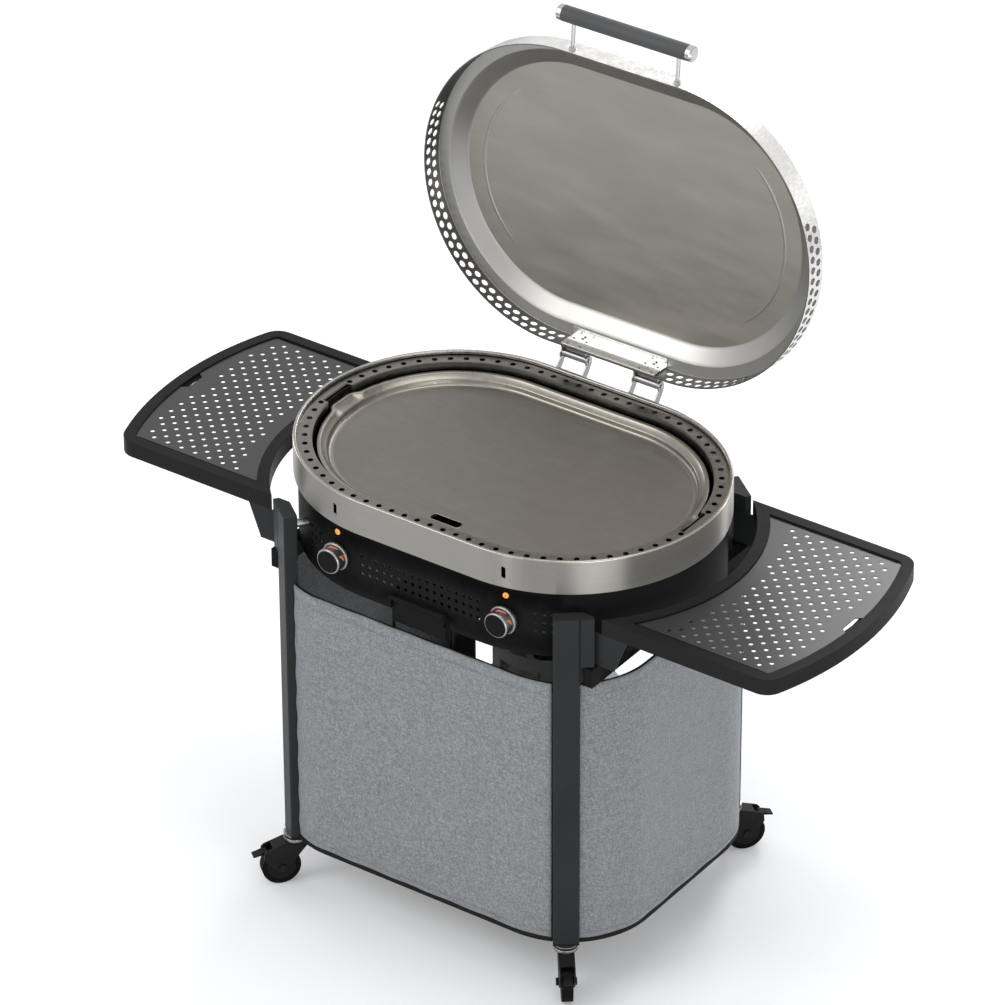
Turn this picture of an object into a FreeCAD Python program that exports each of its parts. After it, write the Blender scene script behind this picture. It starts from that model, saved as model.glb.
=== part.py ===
import FreeCAD, Part
import math
import os
import re

import Sketcher

# Outdoor gas griddle station, in millimetres, +Z up. It is drawn about the griddle's centre and written
# about the middle of the whole, on the floor.
# The front, with the knobs and the lid's handle, faces -Y. The lid stands open, as in its rest pose.

doc = FreeCAD.newDocument("GriddleStation")
sheet = doc.addObject("Spreadsheet::Sheet", "Sizes")

SIZES = [
    # The griddle head is an obround: two half circles joined by straight sides.
    ("head_half", 127.5, "half length of the straight sides"),
    ("rim_radius", 298, "outside of the stainless band"),
    ("rim_top", 913, "working height"),
    ("rim_tall", 69, "height of the band"),
    ("rim_wall", 2.5, "sheet of the band"),
    ("lip_wide", 14, "rolled lip, seen from above"),
    ("lip_deep", 8, "rolled lip, seen from the side"),
    ("lip_bevel", 2.5, "bevel of the rolled lip"),
    ("slot_wide", 7, "sight slot above a knob"),
    ("slot_tall", 27, "sight slot above a knob"),
    ("slot_high", 875, "centre of the sight slot"),
    ("ring_inner", 264, "inside of the perforated ring"),
    ("ring_thick", 2, "sheet of the perforated ring"),
    ("ring_hole", 5.5, "radius of a hole in the ring"),
    ("ring_hole_pitch", 276, "radius of the row of holes"),
    ("ring_hole_step", 6.2069, "angle between two holes"),
    ("ring_hole_count", 14, "holes in a quarter"),
    ("ring_side_step", 28.33, "distance between two holes on a straight side"),
    ("notch_half", 44, "half width of the lifting notch"),
    ("notch_reach", 274.5, "far wall of the lifting notch"),
    ("skirt_radius", 290, "outside of the control skirt"),
    ("skirt_wall", 2, "sheet of the control skirt"),
    ("skirt_bottom", 706, "lower edge of the control skirt"),
    ("tray_notch_top", 732, "top of the notch for the tray"),
    ("pan_wall", 2, "sheet of the burner pan"),
    ("pan_floor", 800, "underside of the burner pan"),
    ("pan_gap", 3, "burner pan outside the ring's inner edge"),
    ("plate_radius", 254, "outside of the cooking plate"),
    ("plate_wall", 5, "wall of the cooking plate"),
    ("plate_top", 907, "top of the plate's wall"),
    ("plate_floor", 873, "cooking surface"),
    ("plate_thick", 6, "thickness of the cooking surface"),
    ("plate_floor_radius", 237, "edge of the flat cooking surface"),
    ("plate_slope", 9, "height of the slope round the cooking surface"),
    ("tab_reach", 10, "how far a lifting tab stands out"),
    ("tab_base", 43, "half width of a tab at the wall"),
    ("tab_end", 30, "half width of a tab at its end"),
    ("tab_tall", 14, "height of a tab"),
    ("drain_half", 40, "half width of the grease slot"),
    ("drain_front", 232, "far edge of the grease slot"),
    ("drain_back", 212, "near edge of the grease slot"),
    ("post_radius", 6, "support post under the plate"),
    ("post_in", 100, "support post from the middle of an end, both ways"),
    ("seat_gap", 0.3, "clearance under a piece that lifts off"),
    # Burners, valves and knobs.
    ("burner_tube", 14, "radius of a burner tube"),
    ("burner_apart", 140, "burner tube from the centre line"),
    ("burner_half", 165, "half length of a burner tube"),
    ("burner_high", 832, "axis of the burner tubes"),
    ("knob_across", 186, "knob axis from the centre line"),
    ("knob_high", 775, "knob axis above the floor"),
    ("knob_radius", 25, "grip of a knob"),
    ("knob_flange", 28, "silver collar of a knob"),
    ("knob_flange_deep", 6, "silver collar of a knob"),
    ("knob_front", 318, "face of a knob"),
    ("knob_back", 289.5, "back of a knob"),
    ("knob_bevel", 2, "bevel of a knob's face"),
    ("stem_radius", 4, "spindle of a knob"),
    ("stem_fit", 0.06, "running clearance of a spindle or pin"),
    ("valve_radius", 11, "gas valve"),
    ("valve_front", 278, "front end of a gas valve"),
    ("valve_back", 256, "axis of the manifold"),
    ("manifold_radius", 9, "gas manifold"),
    ("light_radius", 5, "indicator light"),
    ("light_high", 823, "indicator light above the floor"),
    ("light_proud", 2, "how far an indicator light stands out"),
    ("light_seat", 0.1, "indicator light in front of the curved skirt"),
    # Grease tray at the front.
    ("tray_half", 61, "half width of the grease tray"),
    ("tray_front", 292, "front of the grease tray"),
    ("tray_back", 150, "back of the grease tray"),
    ("tray_top", 728, "top of the grease tray"),
    ("tray_deep", 46, "height of the grease tray"),
    ("tray_wall", 1.5, "sheet of the grease tray"),
    ("bar_half", 60.5, "half length of the tray's bar"),
    ("bar_radius", 4.5, "tray's bar"),
    ("bar_out", 8, "tray's bar in front of the tray"),
    ("bar_high", 738, "tray's bar above the floor"),
    ("rail_thick", 2, "sheet of the tray's rails"),
    ("rail_rise", 13, "tray's rails above the skirt's notch"),
    ("strap_wide", 30, "strap that hangs a rail from the pan"),
    ("chute_wall", 1.5, "sheet of the grease chute"),
    ("chute_clear", 1, "grease chute above the tray"),
    # Legs, brackets and casters.
    ("leg_across", 309.84, "leg axis from the centre line, along X"),
    ("leg_along", 273.56, "leg axis from the centre line, along Y"),
    ("leg_turn", 38, "angle between a leg's face and the front"),
    ("leg_wide", 48.5, "leg tube"),
    ("leg_deep", 26.5, "leg tube"),
    ("leg_wall", 1.8, "leg tube"),
    ("leg_bevel", 2.5, "bevel of the leg tube"),
    ("leg_top", 817, "top of a leg"),
    ("leg_bottom", 110, "foot of a leg"),
    ("bracket_wide", 25, "shelf bracket beside a leg"),
    ("bracket_tall", 101, "shelf bracket"),
    ("gusset_long", 56, "gusset under a shelf"),
    ("gusset_thick", 2.5, "gusset under a shelf"),
    ("spacer_radius", 8, "spacer between a leg and the head"),
    ("spacer_high", 788, "spacer above the floor"),
    ("spacer_long", 32, "blank of a spacer, trimmed by the skirt"),
    ("side_rail_wide", 20, "side rail"),
    ("side_rail_tall", 38, "side rail"),
    ("side_rail_high", 675, "underside of a side rail"),
    ("side_rail_inner", 337.6, "inner face of a side rail"),
    ("side_rail_half", 262, "half length of a side rail"),
    ("wheel_radius", 38, "caster wheel"),
    ("tread_wide", 21, "caster wheel"),
    ("wheel_trail", 30, "wheel axle behind the swivel axis"),
    ("axle_radius", 5, "caster axle"),
    ("fork_gap", 1.5, "space beside a wheel"),
    ("fork_wall", 3, "sheet of a caster fork"),
    ("fork_top", 92, "top of a caster fork"),
    ("swivel_radius", 22, "bearing ring under a leg"),
    ("swivel_gap", 0.4, "clearance of the bearing ring"),
    ("kingpin_radius", 6, "swivel pin"),
    ("brake_wide", 17, "brake lever"),
    ("brake_thick", 3, "brake lever"),
    ("brake_long", 26, "brake lever, from its pivot to its tip"),
    ("brake_pin", 3, "pivot of a brake lever"),
    ("brake_out", 58, "pivot from the swivel axis"),
    ("brake_high", 72, "pivot above the floor"),
    # Bottom shelf, fabric and gas cylinder.
    ("base_half_long", 392, "outside of the fabric, along X"),
    ("base_half_deep", 303, "outside of the fabric, along Y"),
    ("base_corner", 174, "corner of the fabric"),
    ("base_bottom", 106, "underside of the bottom shelf"),
    ("base_rim", 9, "rim of the bottom shelf"),
    ("base_sheet", 2, "sheet of the bottom shelf"),
    ("base_rim_wide", 4, "thickness of the bottom shelf's rim"),
    ("leg_gap", 0.3, "space round a leg in the bottom shelf"),
    ("fabric_thick", 3, "fabric"),
    ("fabric_top", 673, "top hem"),
    ("fabric_gap", 0.3, "space between the fabric and its neighbours"),
    ("hem_thick", 6, "bar inside the top hem"),
    ("hem_tall", 22, "bar inside the top hem"),
    ("cross_tall", 30, "rear cross bar"),
    ("cross_deep", 20, "rear cross bar"),
    ("gate_half", 262, "half width of the low rim at the rear"),
    ("gas_x", 90, "gas cylinder, along X"),
    ("gas_y", -10, "gas cylinder, along Y"),
    ("gas_radius", 155, "gas cylinder"),
    ("gas_sheet", 3, "gas cylinder"),
    ("gas_foot_radius", 100, "foot ring"),
    ("gas_foot_tall", 28, "foot ring"),
    ("gas_shoulder", 300, "top of the straight wall above the shelf"),
    ("gas_crown", 352, "top of the dome above the shelf"),
    ("collar_radius", 105, "collar"),
    ("collar_tall", 457, "top of the collar above the shelf"),
    ("collar_wall", 2.5, "collar"),
    ("dome_fall", 20, "fall of the dome's slope"),
    ("dome_wide", 53, "width of the dome's slope"),
    ("handwheel_radius", 30, "valve wheel"),
    ("handwheel_tall", 16, "valve wheel"),
    # Side shelves.
    ("shelf_top", 816, "top of a side shelf"),
    ("shelf_thick", 32, "side shelf"),
    ("shelf_half", 245, "half depth of a side shelf"),
    ("shelf_inner", 342, "inner curve of a shelf"),
    ("shelf_outer", 632.6, "outer curve of a shelf"),
    ("shelf_outer_centre", 134.5, "centre of the outer curve"),
    ("shelf_corner", 37, "corner of a shelf"),
    ("shelf_sheet", 2.5, "wall of a shelf"),
    ("shelf_border", 23, "raised border"),
    ("shelf_recess", 4, "plate below the border"),
    ("shelf_plate_thick", 2, "plate"),
    ("shelf_ledge", 8, "ledge that carries the plate"),
    ("shelf_ledge_thick", 2, "ledge that carries the plate"),
    ("shelf_plate_gap", 0.3, "space round the plate"),
    ("finger_half", 28, "half length of the finger notch"),
    ("finger_deep", 14, "finger notch"),
    # Lid, hinge and handle. Heights are measured from the lid's lip.
    ("lid_radius", 298.5, "outside of the lid's wall"),
    ("lid_wall", 2, "sheet of the lid"),
    ("lid_gap", 0.5, "closed lid above the band"),
    ("lid_wall_tall", 47, "wall of the lid"),
    ("lid_ledge", 274, "foot of the lid's bevel"),
    ("lid_panel", 242, "edge of the lid's panel"),
    ("lid_tall", 66.5, "top of the lid"),
    ("hinge_y", 322.1, "hinge axis"),
    ("hinge_z", 932.8, "hinge axis"),
    ("open_angle", 93.7, "opening of the lid"),
    ("hinge_across", 81, "middle of a hinge"),
    ("barrel_half", 27, "half length of a hinge barrel"),
    ("barrel_radius", 8, "hinge barrel"),
    ("pin_radius", 4, "hinge pin"),
    ("ear_thick", 3, "ear of a hinge base"),
    ("ear_gap", 0.5, "space beside a hinge barrel"),
    ("ear_radius", 9, "round end of an ear"),
    ("hinge_foot", 882, "lower end of a hinge base"),
    ("hinge_head", 911, "upper end of a hinge base"),
    ("web_thick", 3, "web and pad of a hinge barrel"),
    ("leaf_half", 105, "half length of the inner hinge leaf"),
    ("leaf_thick", 2, "inner hinge leaf"),
    ("leaf_deep", 20, "inner hinge leaf under the ledge"),
    ("handle_out", 66, "handle axis in front of the lid"),
    ("handle_up", 15.5, "handle axis above the lip"),
    ("handle_radius", 15.5, "handle tube"),
    ("handle_half", 147.5, "half length of the handle"),
    ("handle_cap", 12, "end cap of the handle"),
    ("cap_bevel", 3, "bevel of an end cap"),
    ("post_across", 114.5, "handle post from the centre line"),
    ("handle_post", 4, "radius of a handle post"),
    ("middle", 30.31, "middle of the whole, behind the griddle's centre"),
]

for line, (alias, number, note) in enumerate(SIZES, 1):
    sheet.set("A%d" % line, alias)
    sheet.set("B%d" % line, str(number))
    sheet.set("C%d" % line, note)
    sheet.setAlias("B%d" % line, alias)
doc.recompute()

ALIASES = {alias for alias, number, note in SIZES}
WORD = re.compile(r"\b[a-z][a-z_]*\b")
V = FreeCAD.Vector
X, Y, Z = V(1, 0, 0), V(0, 1, 0), V(0, 0, 1)
nodes = []


# Helpers: every size below is an expression in the sheet's aliases.

def tied(text):
    """Point each alias of an expression at the sheet."""
    return WORD.sub(lambda m: "Sizes." + m.group() if m.group() in ALIASES else m.group(), text)


def value(text):
    """The number that an expression has now."""
    return float(sheet.evalExpression(text))


def place(item, x="0", y="0", z="0", turn=None, axis=Z):
    """Tie an object's place, and its turn about one axis, to the sheet."""
    angle = value(turn) if turn else 0
    item.Placement = FreeCAD.Placement(V(value(x), value(y), value(z)), FreeCAD.Rotation(axis, angle))
    for name, text in (("x", x), ("y", y), ("z", z)):
        item.setExpression("Placement.Base." + name, tied(text))
    if turn:
        item.setExpression("Placement.Rotation.Angle", tied(turn))
    return item


def box(name, x0, x1, y0, y1, z0, z1):
    """A block between two opposite corners."""
    item = doc.addObject("Part::Box", name)
    for side, low, high in (("Length", x0, x1), ("Width", y0, y1), ("Height", z0, z1)):
        item.setExpression(side, tied("(%s) - (%s)" % (high, low)))
    return place(item, x0, y0, z0)


def rod(name, radius, length, x="0", y="0", z="0", axis=Z):
    """A cylinder that starts at a point and runs along an axis."""
    item = doc.addObject("Part::Cylinder", name)
    item.setExpression("Radius", tied(radius))
    item.setExpression("Height", tied(length))
    place(item, x, y, z)
    turn = FreeCAD.Rotation(Z, axis)
    item.Placement = FreeCAD.Placement(item.Placement.Base, turn)
    return item


def prism(name, sides, radius, length, x="0", y="0", z="0", axis=Z):
    """A bar with flat sides, as wide across its corners as a round one."""
    item = doc.addObject("Part::Prism", name)
    item.Polygon = sides
    item.setExpression("Circumradius", tied(radius))
    item.setExpression("Height", tied(length))
    place(item, x, y, z)
    item.Placement = FreeCAD.Placement(item.Placement.Base, FreeCAD.Rotation(Z, axis))
    return item


def faceted(name, sides, rows):
    """A turned shape with flat sides, from rows of (radius, height)."""
    rings = []
    for k, (radius, high) in enumerate(rows):
        ring = doc.addObject("Part::RegularPolygon", "%sRing%d" % (name, k))
        ring.Polygon = sides
        ring.setExpression("Circumradius", tied(radius))
        rings.append(place(ring, z=high))
    item = doc.addObject("Part::Loft", name)
    item.Sections = rings
    item.Solid = True
    item.Ruled = True
    return item


def fuse(name, items):
    """Join touching or overlapping shapes, or hold separate ones together."""
    item = doc.addObject("Part::MultiFuse", name)
    item.Shapes = items
    item.Refine = True
    return item


def held(name, items):
    """Keep shapes together, so that they can be turned and moved as one."""
    item = doc.addObject("Part::Compound", name)
    item.Links = items
    return item


def cut(name, base, tool):
    item = doc.addObject("Part::Cut", name)
    item.Base = base
    item.Tool = tool
    item.Refine = True
    return item


def common(name, first, second):
    item = doc.addObject("Part::Common", name)
    item.Base = first
    item.Tool = second
    item.Refine = True
    return item


def mirrored(name, source, normal):
    """The same piece on the other side of the XZ or YZ plane."""
    item = doc.addObject("Part::Mirroring", name)
    item.Source = source
    item.Normal = normal
    return item


def node(item, label):
    """Mark an object as one of the part's pieces."""
    item.Label = label
    nodes.append(item)
    return item


def body(name):
    return doc.addObject("PartDesign::Body", name)


def plane_of(owner, role):
    return next(f for f in owner.Origin.OriginFeatures if f.Role == role)


def flat_sketch(owner, name, role, x="0", y="0", z="0", turn=None, axis=Z):
    """An empty sketch on one of the body's own planes, shifted and turned in that plane's axes."""
    sketch = owner.newObject("Sketcher::SketchObject", name)
    sketch.AttachmentSupport = (plane_of(owner, role), [""])
    sketch.MapMode = "FlatFace"
    angle = value(turn) if turn else 0
    offset = FreeCAD.Placement(V(value(x), value(y), value(z)), FreeCAD.Rotation(axis, angle))
    sketch.AttachmentOffset = offset
    for side, text in (("x", x), ("y", y), ("z", z)):
        sketch.setExpression("AttachmentOffset.Base." + side, tied(text))
    if turn:
        sketch.setExpression("AttachmentOffset.Rotation.Angle", tied(turn))
    return sketch


def hold(sketch, shape, spot, x, y):
    """Tie one sketch point to its distances from the sketch's origin."""
    for kind, text, line in (("DistanceX", x, -2), ("DistanceY", y, -1)):
        number = value(text)
        if abs(number) < 1e-9:
            sketch.addConstraint(Sketcher.Constraint("PointOnObject", shape, spot, line))
            continue
        ends = (-1, 1, shape, spot) if number > 0 else (shape, spot, -1, 1)
        sign = "" if number > 0 else "-"
        at = sketch.addConstraint(Sketcher.Constraint(kind, *ends, abs(number)))
        sketch.setExpression("Constraints[%d]" % at, tied("%s(%s)" % (sign, text)))


def outline(sketch, corners):
    """Draw a closed outline of straight sides. A third entry of a corner is its rounding."""
    points = [V(value(c[0]), value(c[1]), 0) for c in corners]
    count = len(corners)
    joints = []
    for i, corner in enumerate(corners):
        here = points[i]
        if len(corner) < 3:
            joints.append((here, here, None))
            continue
        back = (points[i - 1] - here).normalize()
        ahead = (points[(i + 1) % count] - here).normalize()
        half = math.acos(max(-1, min(1, back.dot(ahead)))) / 2
        radius = value(corner[2])
        reach = radius / math.tan(half)
        centre = here + (back + ahead).normalize() * (radius / math.sin(half))
        joints.append((here + back * reach, here + ahead * reach, centre))
    first = len(sketch.Geometry)
    for i in range(count):
        sketch.addGeometry(Part.LineSegment(joints[i][1], joints[(i + 1) % count][0]), False)
    for i, corner in enumerate(corners):
        before, after = first + (i - 1) % count, first + i
        start, end, centre = joints[i]
        if centre is None:
            sketch.addConstraint(Sketcher.Constraint("Coincident", before, 2, after, 1))
            hold(sketch, after, 1, corner[0], corner[1])
            continue
        radius = value(corner[2])
        from_angle = math.atan2(start.y - centre.y, start.x - centre.x)
        to_angle = math.atan2(end.y - centre.y, end.x - centre.x)
        forward = (to_angle - from_angle) % (2 * math.pi) < math.pi
        angles = (from_angle, to_angle) if forward else (to_angle, from_angle)
        arc = sketch.addGeometry(Part.ArcOfCircle(Part.Circle(centre, Z, radius), *angles), False)
        sketch.addConstraint(Sketcher.Constraint("Tangent", before, 2, arc, 1 if forward else 2))
        sketch.addConstraint(Sketcher.Constraint("Tangent", arc, 2 if forward else 1, after, 1))
        at = sketch.addConstraint(Sketcher.Constraint("Radius", arc, radius))
        sketch.setExpression("Constraints[%d]" % at, tied(corner[2]))
        peak = sketch.addGeometry(Part.Point(points[i]), True)
        hold(sketch, peak, 1, corner[0], corner[1])
        sketch.addConstraint(Sketcher.Constraint("PointOnObject", peak, 1, before))
        sketch.addConstraint(Sketcher.Constraint("PointOnObject", peak, 1, after))
    return sketch


def pad(owner, name, sketch, length, middle=False):
    item = owner.newObject("PartDesign::Pad", name)
    item.Profile = sketch
    item.setExpression("Length", tied(length))
    if middle:
        item.SideType = "Symmetric"
    return item


def pocket(owner, name, sketch, length, back=False):
    item = owner.newObject("PartDesign::Pocket", name)
    item.Profile = sketch
    item.setExpression("Length", tied(length))
    item.Reversed = back
    return item


def revolve(owner, name, sketch, angle="360"):
    """Turn a sketch about its own upright axis, half of the angle to each side."""
    item = owner.newObject("PartDesign::Revolution", name)
    item.Profile = sketch
    item.ReferenceAxis = (sketch, ["V_Axis"])
    item.Angle = float(angle)
    item.Midplane = True
    return item


def mirror(owner, name, features, role):
    item = owner.newObject("PartDesign::Mirrored", name)
    item.Originals = features
    item.MirrorPlane = (plane_of(owner, role), [""])
    owner.Tip = item
    return item


def opposite(corners):
    """The same outline on the other side of the upright axis."""
    return [("-(%s)" % corner[0],) + corner[1:] for corner in reversed(corners)]


def obround(name, corners):
    """A head piece: one half profile, revolved round both ends and run along both sides."""
    shell = body(name)
    end = outline(flat_sketch(shell, name + "EndProfile", "XZ_Plane", x="head_half"), corners)
    revolve(shell, name + "End", end, "180")
    side = flat_sketch(shell, name + "SideProfile", "YZ_Plane", z="-head_half")
    if any(corner[0] == "0" for corner in corners):
        last = max(i for i, corner in enumerate(corners) if corner[0] == "0")
        wide = [corner for corner in corners[last + 1:] + corners[:last] if corner[0] != "0"]
        outline(side, wide + opposite(wide))
    else:
        outline(side, corners)
        outline(side, opposite(corners))
    pad(shell, name + "Sides", side, "2 * head_half")
    other = flat_sketch(shell, name + "OtherEndProfile", "XZ_Plane", x="-head_half")
    last = revolve(shell, name + "OtherEnd", outline(other, opposite(corners)), "180")
    return shell, last


def many_sided(sides, x, y, radius):
    """Corners of a hole with flat sides, as wide across them as a round one."""
    step = 360 / sides
    span = "(%s) / cos(%g)" % (radius, step / 2)
    corner = "(%s) + %s * %s(%g)"
    return [(corner % (x, span, "cos", a), corner % (y, span, "sin", a)) for a in
            [step / 2 + step * k for k in range(sides)]]


# Griddle head: band, perforated ring, control skirt, burner pan and cooking plate.

def rim_band():
    corners = [
        ("rim_radius", "rim_top - rim_tall"),
        ("rim_radius", "rim_top - lip_bevel"),
        ("rim_radius - lip_bevel", "rim_top"),
        ("rim_radius - lip_wide", "rim_top"),
        ("rim_radius - lip_wide", "rim_top - lip_deep"),
        ("rim_radius - rim_wall", "rim_top - lip_deep"),
        ("rim_radius - rim_wall", "rim_top - rim_tall"),
    ]
    band, last = obround("RimBand", corners)
    slots = flat_sketch(band, "SightSlots", "XZ_Plane")
    for side in ("1", "-1"):
        middle = side + " * knob_across"
        low, high = "slot_high - slot_tall / 2", "slot_high + slot_tall / 2"
        left, right = middle + " - slot_wide / 2", middle + " + slot_wide / 2"
        turn = "slot_wide / 2.01"
        outline(slots, [(left, low, turn), (right, low, turn), (right, high, turn), (left, high, turn)])
    pocket(band, "SightSlotCut", slots, "rim_radius", back=True)
    return node(band, "rim_band")


def vent_ring():
    ring, last = obround("VentRing", [
        ("ring_inner", "rim_top - lip_deep - ring_thick"),
        ("rim_radius - rim_wall - seat_gap", "rim_top - lip_deep - ring_thick"),
        ("rim_radius - rim_wall - seat_gap", "rim_top - lip_deep"),
        ("ring_inner", "rim_top - lip_deep"),
    ])
    top = "rim_top - lip_deep"
    notch = flat_sketch(ring, "Notch", "XY_Plane", z=top)
    reach = "head_half + notch_reach"
    outline(notch, [("head_half", "-notch_half"), (reach, "-notch_half"), (reach, "notch_half"),
                    ("head_half", "notch_half")])
    notch_cut = pocket(ring, "NotchCut", notch, "ring_thick")
    mirror(ring, "OtherNotch", [notch_cut], "YZ_Plane")
    hole = flat_sketch(ring, "EndHole", "XY_Plane", x="head_half", z=top)
    angle = "90 - ring_hole_step * (ring_hole_count - 1)"
    outline(hole, many_sided(6, "ring_hole_pitch * cos(%s)" % angle, "ring_hole_pitch * sin(%s)" % angle,
                             "ring_hole"))
    end_hole = pocket(ring, "EndHoleCut", hole, "ring_thick")
    turned = ring.newObject("PartDesign::MultiTransform", "EndHoles")
    turned.Originals = [end_hole]
    polar = doc.addObject("PartDesign::PolarPattern", "EndHoleRow")
    ring.addObject(polar)
    polar.Axis = (hole, ["N_Axis"])
    polar.setExpression("Angle", tied("ring_hole_step * (ring_hole_count - 1)"))
    polar.setExpression("Occurrences", tied("ring_hole_count"))
    turned.Transformations = [polar] + both_ways(ring, "EndHole")
    ring.Tip = turned
    side = flat_sketch(ring, "SideHole", "XY_Plane", z=top)
    outline(side, many_sided(6, "ring_side_step / 2", "ring_hole_pitch", "ring_hole"))
    side_hole = pocket(ring, "SideHoleCut", side, "ring_thick")
    lined = ring.newObject("PartDesign::MultiTransform", "SideHoles")
    lined.Originals = [side_hole]
    linear = doc.addObject("PartDesign::LinearPattern", "SideHoleRow")
    ring.addObject(linear)
    linear.Direction = (side, ["H_Axis"])
    linear.setExpression("Length", tied("3 * ring_side_step"))
    linear.Occurrences = 4
    lined.Transformations = [linear] + both_ways(ring, "SideHole")
    ring.Tip = lined
    return node(ring, "vent_ring")


def both_ways(owner, name):
    """Mirror images across both upright planes."""
    images = []
    for role in ("YZ_Plane", "XZ_Plane"):
        image = doc.addObject("PartDesign::Mirrored", name + role[:2])
        owner.addObject(image)
        image.MirrorPlane = (plane_of(owner, role), [""])
        images.append(image)
    return images


def control_skirt():
    skirt, last = obround("ControlSkirt", [
        ("skirt_radius - skirt_wall", "skirt_bottom"),
        ("skirt_radius", "skirt_bottom"),
        ("skirt_radius", "rim_top - rim_tall + 6"),
        ("skirt_radius - skirt_wall", "rim_top - rim_tall + 6"),
    ])
    openings = flat_sketch(skirt, "SkirtOpenings", "XZ_Plane")
    outline(openings, [("-tray_half - 4", "skirt_bottom - 1"), ("tray_half + 4", "skirt_bottom - 1"),
                       ("tray_half + 4", "tray_notch_top"), ("-tray_half - 4", "tray_notch_top")])
    for side in ("knob_across", "-knob_across"):
        outline(openings, many_sided(8, side, "knob_high", "stem_radius + 2"))
    pocket(skirt, "SkirtOpeningCut", openings, "skirt_radius", back=True)
    rooms = []
    for side, sign in (("Right", 1), ("Left", -1)):
        near, far = "side_rail_inner - seat_gap", "side_rail_inner + side_rail_wide + seat_gap"
        span = (near, far) if sign > 0 else ("-(%s)" % far, "-(%s)" % near)
        rooms.append(box("RailRoom" + side, span[0], span[1], "-side_rail_half", "side_rail_half",
                         "skirt_bottom - 5", "side_rail_high + side_rail_tall + seat_gap"))
    return node(cut("SkirtTrimmed", skirt, fuse("RailRooms", rooms)), "control_skirt")


def burner_pan():
    """The pan hangs under the perforated ring and is open towards the grease chute."""
    top = "rim_top - lip_deep - ring_thick"
    wide = "ring_inner + pan_gap"
    pan, last = obround("BurnerPan", [
        ("0", "pan_floor"),
        (wide + " + pan_wall", "pan_floor"),
        (wide + " + pan_wall", top),
        (wide, top),
        (wide, "pan_floor + pan_wall"),
        ("0", "pan_floor + pan_wall"),
    ])
    hole = flat_sketch(pan, "ChuteHole", "XY_Plane", z="pan_floor + pan_wall")
    wide = "drain_half + chute_wall + seat_gap"
    outline(hole, [("-(%s)" % wide, "-drain_front - chute_wall - seat_gap"),
                   (wide, "-drain_front - chute_wall - seat_gap"),
                   (wide, "-drain_back + chute_wall + seat_gap"),
                   ("-(%s)" % wide, "-drain_back + chute_wall + seat_gap")])
    pocket(pan, "ChuteHoleCut", hole, "pan_wall")
    return node(pan, "burner_pan")


def griddle_plate():
    plate, last = obround("GriddlePlate", [
        ("0", "plate_floor - plate_thick"),
        ("plate_radius", "plate_floor - plate_thick"),
        ("plate_radius", "plate_top"),
        ("plate_radius - plate_wall", "plate_top"),
        ("plate_radius - plate_wall", "plate_floor + plate_slope"),
        ("plate_floor_radius", "plate_floor"),
        ("0", "plate_floor"),
    ])
    tab = flat_sketch(plate, "Tab", "XY_Plane", x="head_half", z="plate_top - tab_tall")
    root = "plate_radius - plate_wall - 1"
    outline(tab, [(root, "-tab_base"), ("plate_radius - 2", "-tab_base"),
                  ("plate_radius + tab_reach", "-tab_end"), ("plate_radius + tab_reach", "tab_end"),
                  ("plate_radius - 2", "tab_base"), (root, "tab_base")])
    tab_pad = pad(plate, "TabPad", tab, "tab_tall")
    mirror(plate, "OtherTab", [tab_pad], "YZ_Plane")
    slot = flat_sketch(plate, "GreaseSlot", "XY_Plane", z="plate_floor + 1")
    outline(slot, [("-drain_half", "-drain_front"), ("drain_half", "-drain_front"),
                   ("drain_half", "-drain_back"), ("-drain_half", "-drain_back")])
    pocket(plate, "GreaseSlotCut", slot, "plate_thick + 2")
    return node(plate, "griddle_plate")


def grease_chute():
    """A sheet funnel from the plate's slot down to the tray."""
    high = "plate_floor - plate_thick - 4"
    low = "tray_top + chute_clear"
    outer = box("ChuteOuter", "-drain_half - chute_wall", "drain_half + chute_wall",
                "-drain_front - chute_wall", "-drain_back + chute_wall", low, high)
    inner = box("ChuteInner", "-drain_half", "drain_half", "-drain_front", "-drain_back",
                low + " - 1", high + " + 1")
    return node(cut("Chute", outer, inner), "grease_chute")


def plate_posts():
    """Four posts carry the cooking plate; they stand on the burner pan."""
    foot = "pan_floor + pan_wall"
    tall = "plate_floor - plate_thick - seat_gap - pan_floor - pan_wall"
    posts = []
    for i, (side, depth) in enumerate((("1", "1"), ("1", "-1"), ("-1", "1"), ("-1", "-1"))):
        x, y = side + " * (head_half + post_in)", depth + " * post_in"
        posts.append(prism("PlatePost%d" % i, 12, "post_radius", tall, x, y, foot))
    return node(fuse("PlatePosts", posts), "plate_posts")


# Gas train: burners, manifold, valves, knobs and lights.

def burners():
    """Two ladder-shaped pairs of tubes, each fed from the front."""
    pairs = []
    for side, sign in (("Right", "1"), ("Left", "-1")):
        tubes = []
        for k, shift in enumerate(("-45", "45")):
            x = "%s * burner_apart + %s" % (sign, shift)
            tubes.append(prism("Burner%s%d" % (side, k), 12, "burner_tube", "2 * burner_half", x,
                               "-burner_half", "burner_high", Y))
        for k, along in enumerate(("-burner_half + 25", "burner_half - 25")):
            start = "%s * burner_apart - 45" % sign
            tubes.append(prism("Cross%s%d" % (side, k), 8, "burner_tube - 4", "90", start, along,
                               "burner_high", X))
        for k, along in enumerate(("-burner_half + 25", "burner_half - 25")):
            tubes.append(prism("Foot%s%d" % (side, k), 8, "burner_tube - 6",
                               "burner_high - pan_floor - pan_wall", "%s * burner_apart" % sign, along,
                               "pan_floor + pan_wall"))
        pairs.append(fuse("BurnerPair" + side, tubes))
    return node(fuse("Burners", pairs), "burners")


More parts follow.
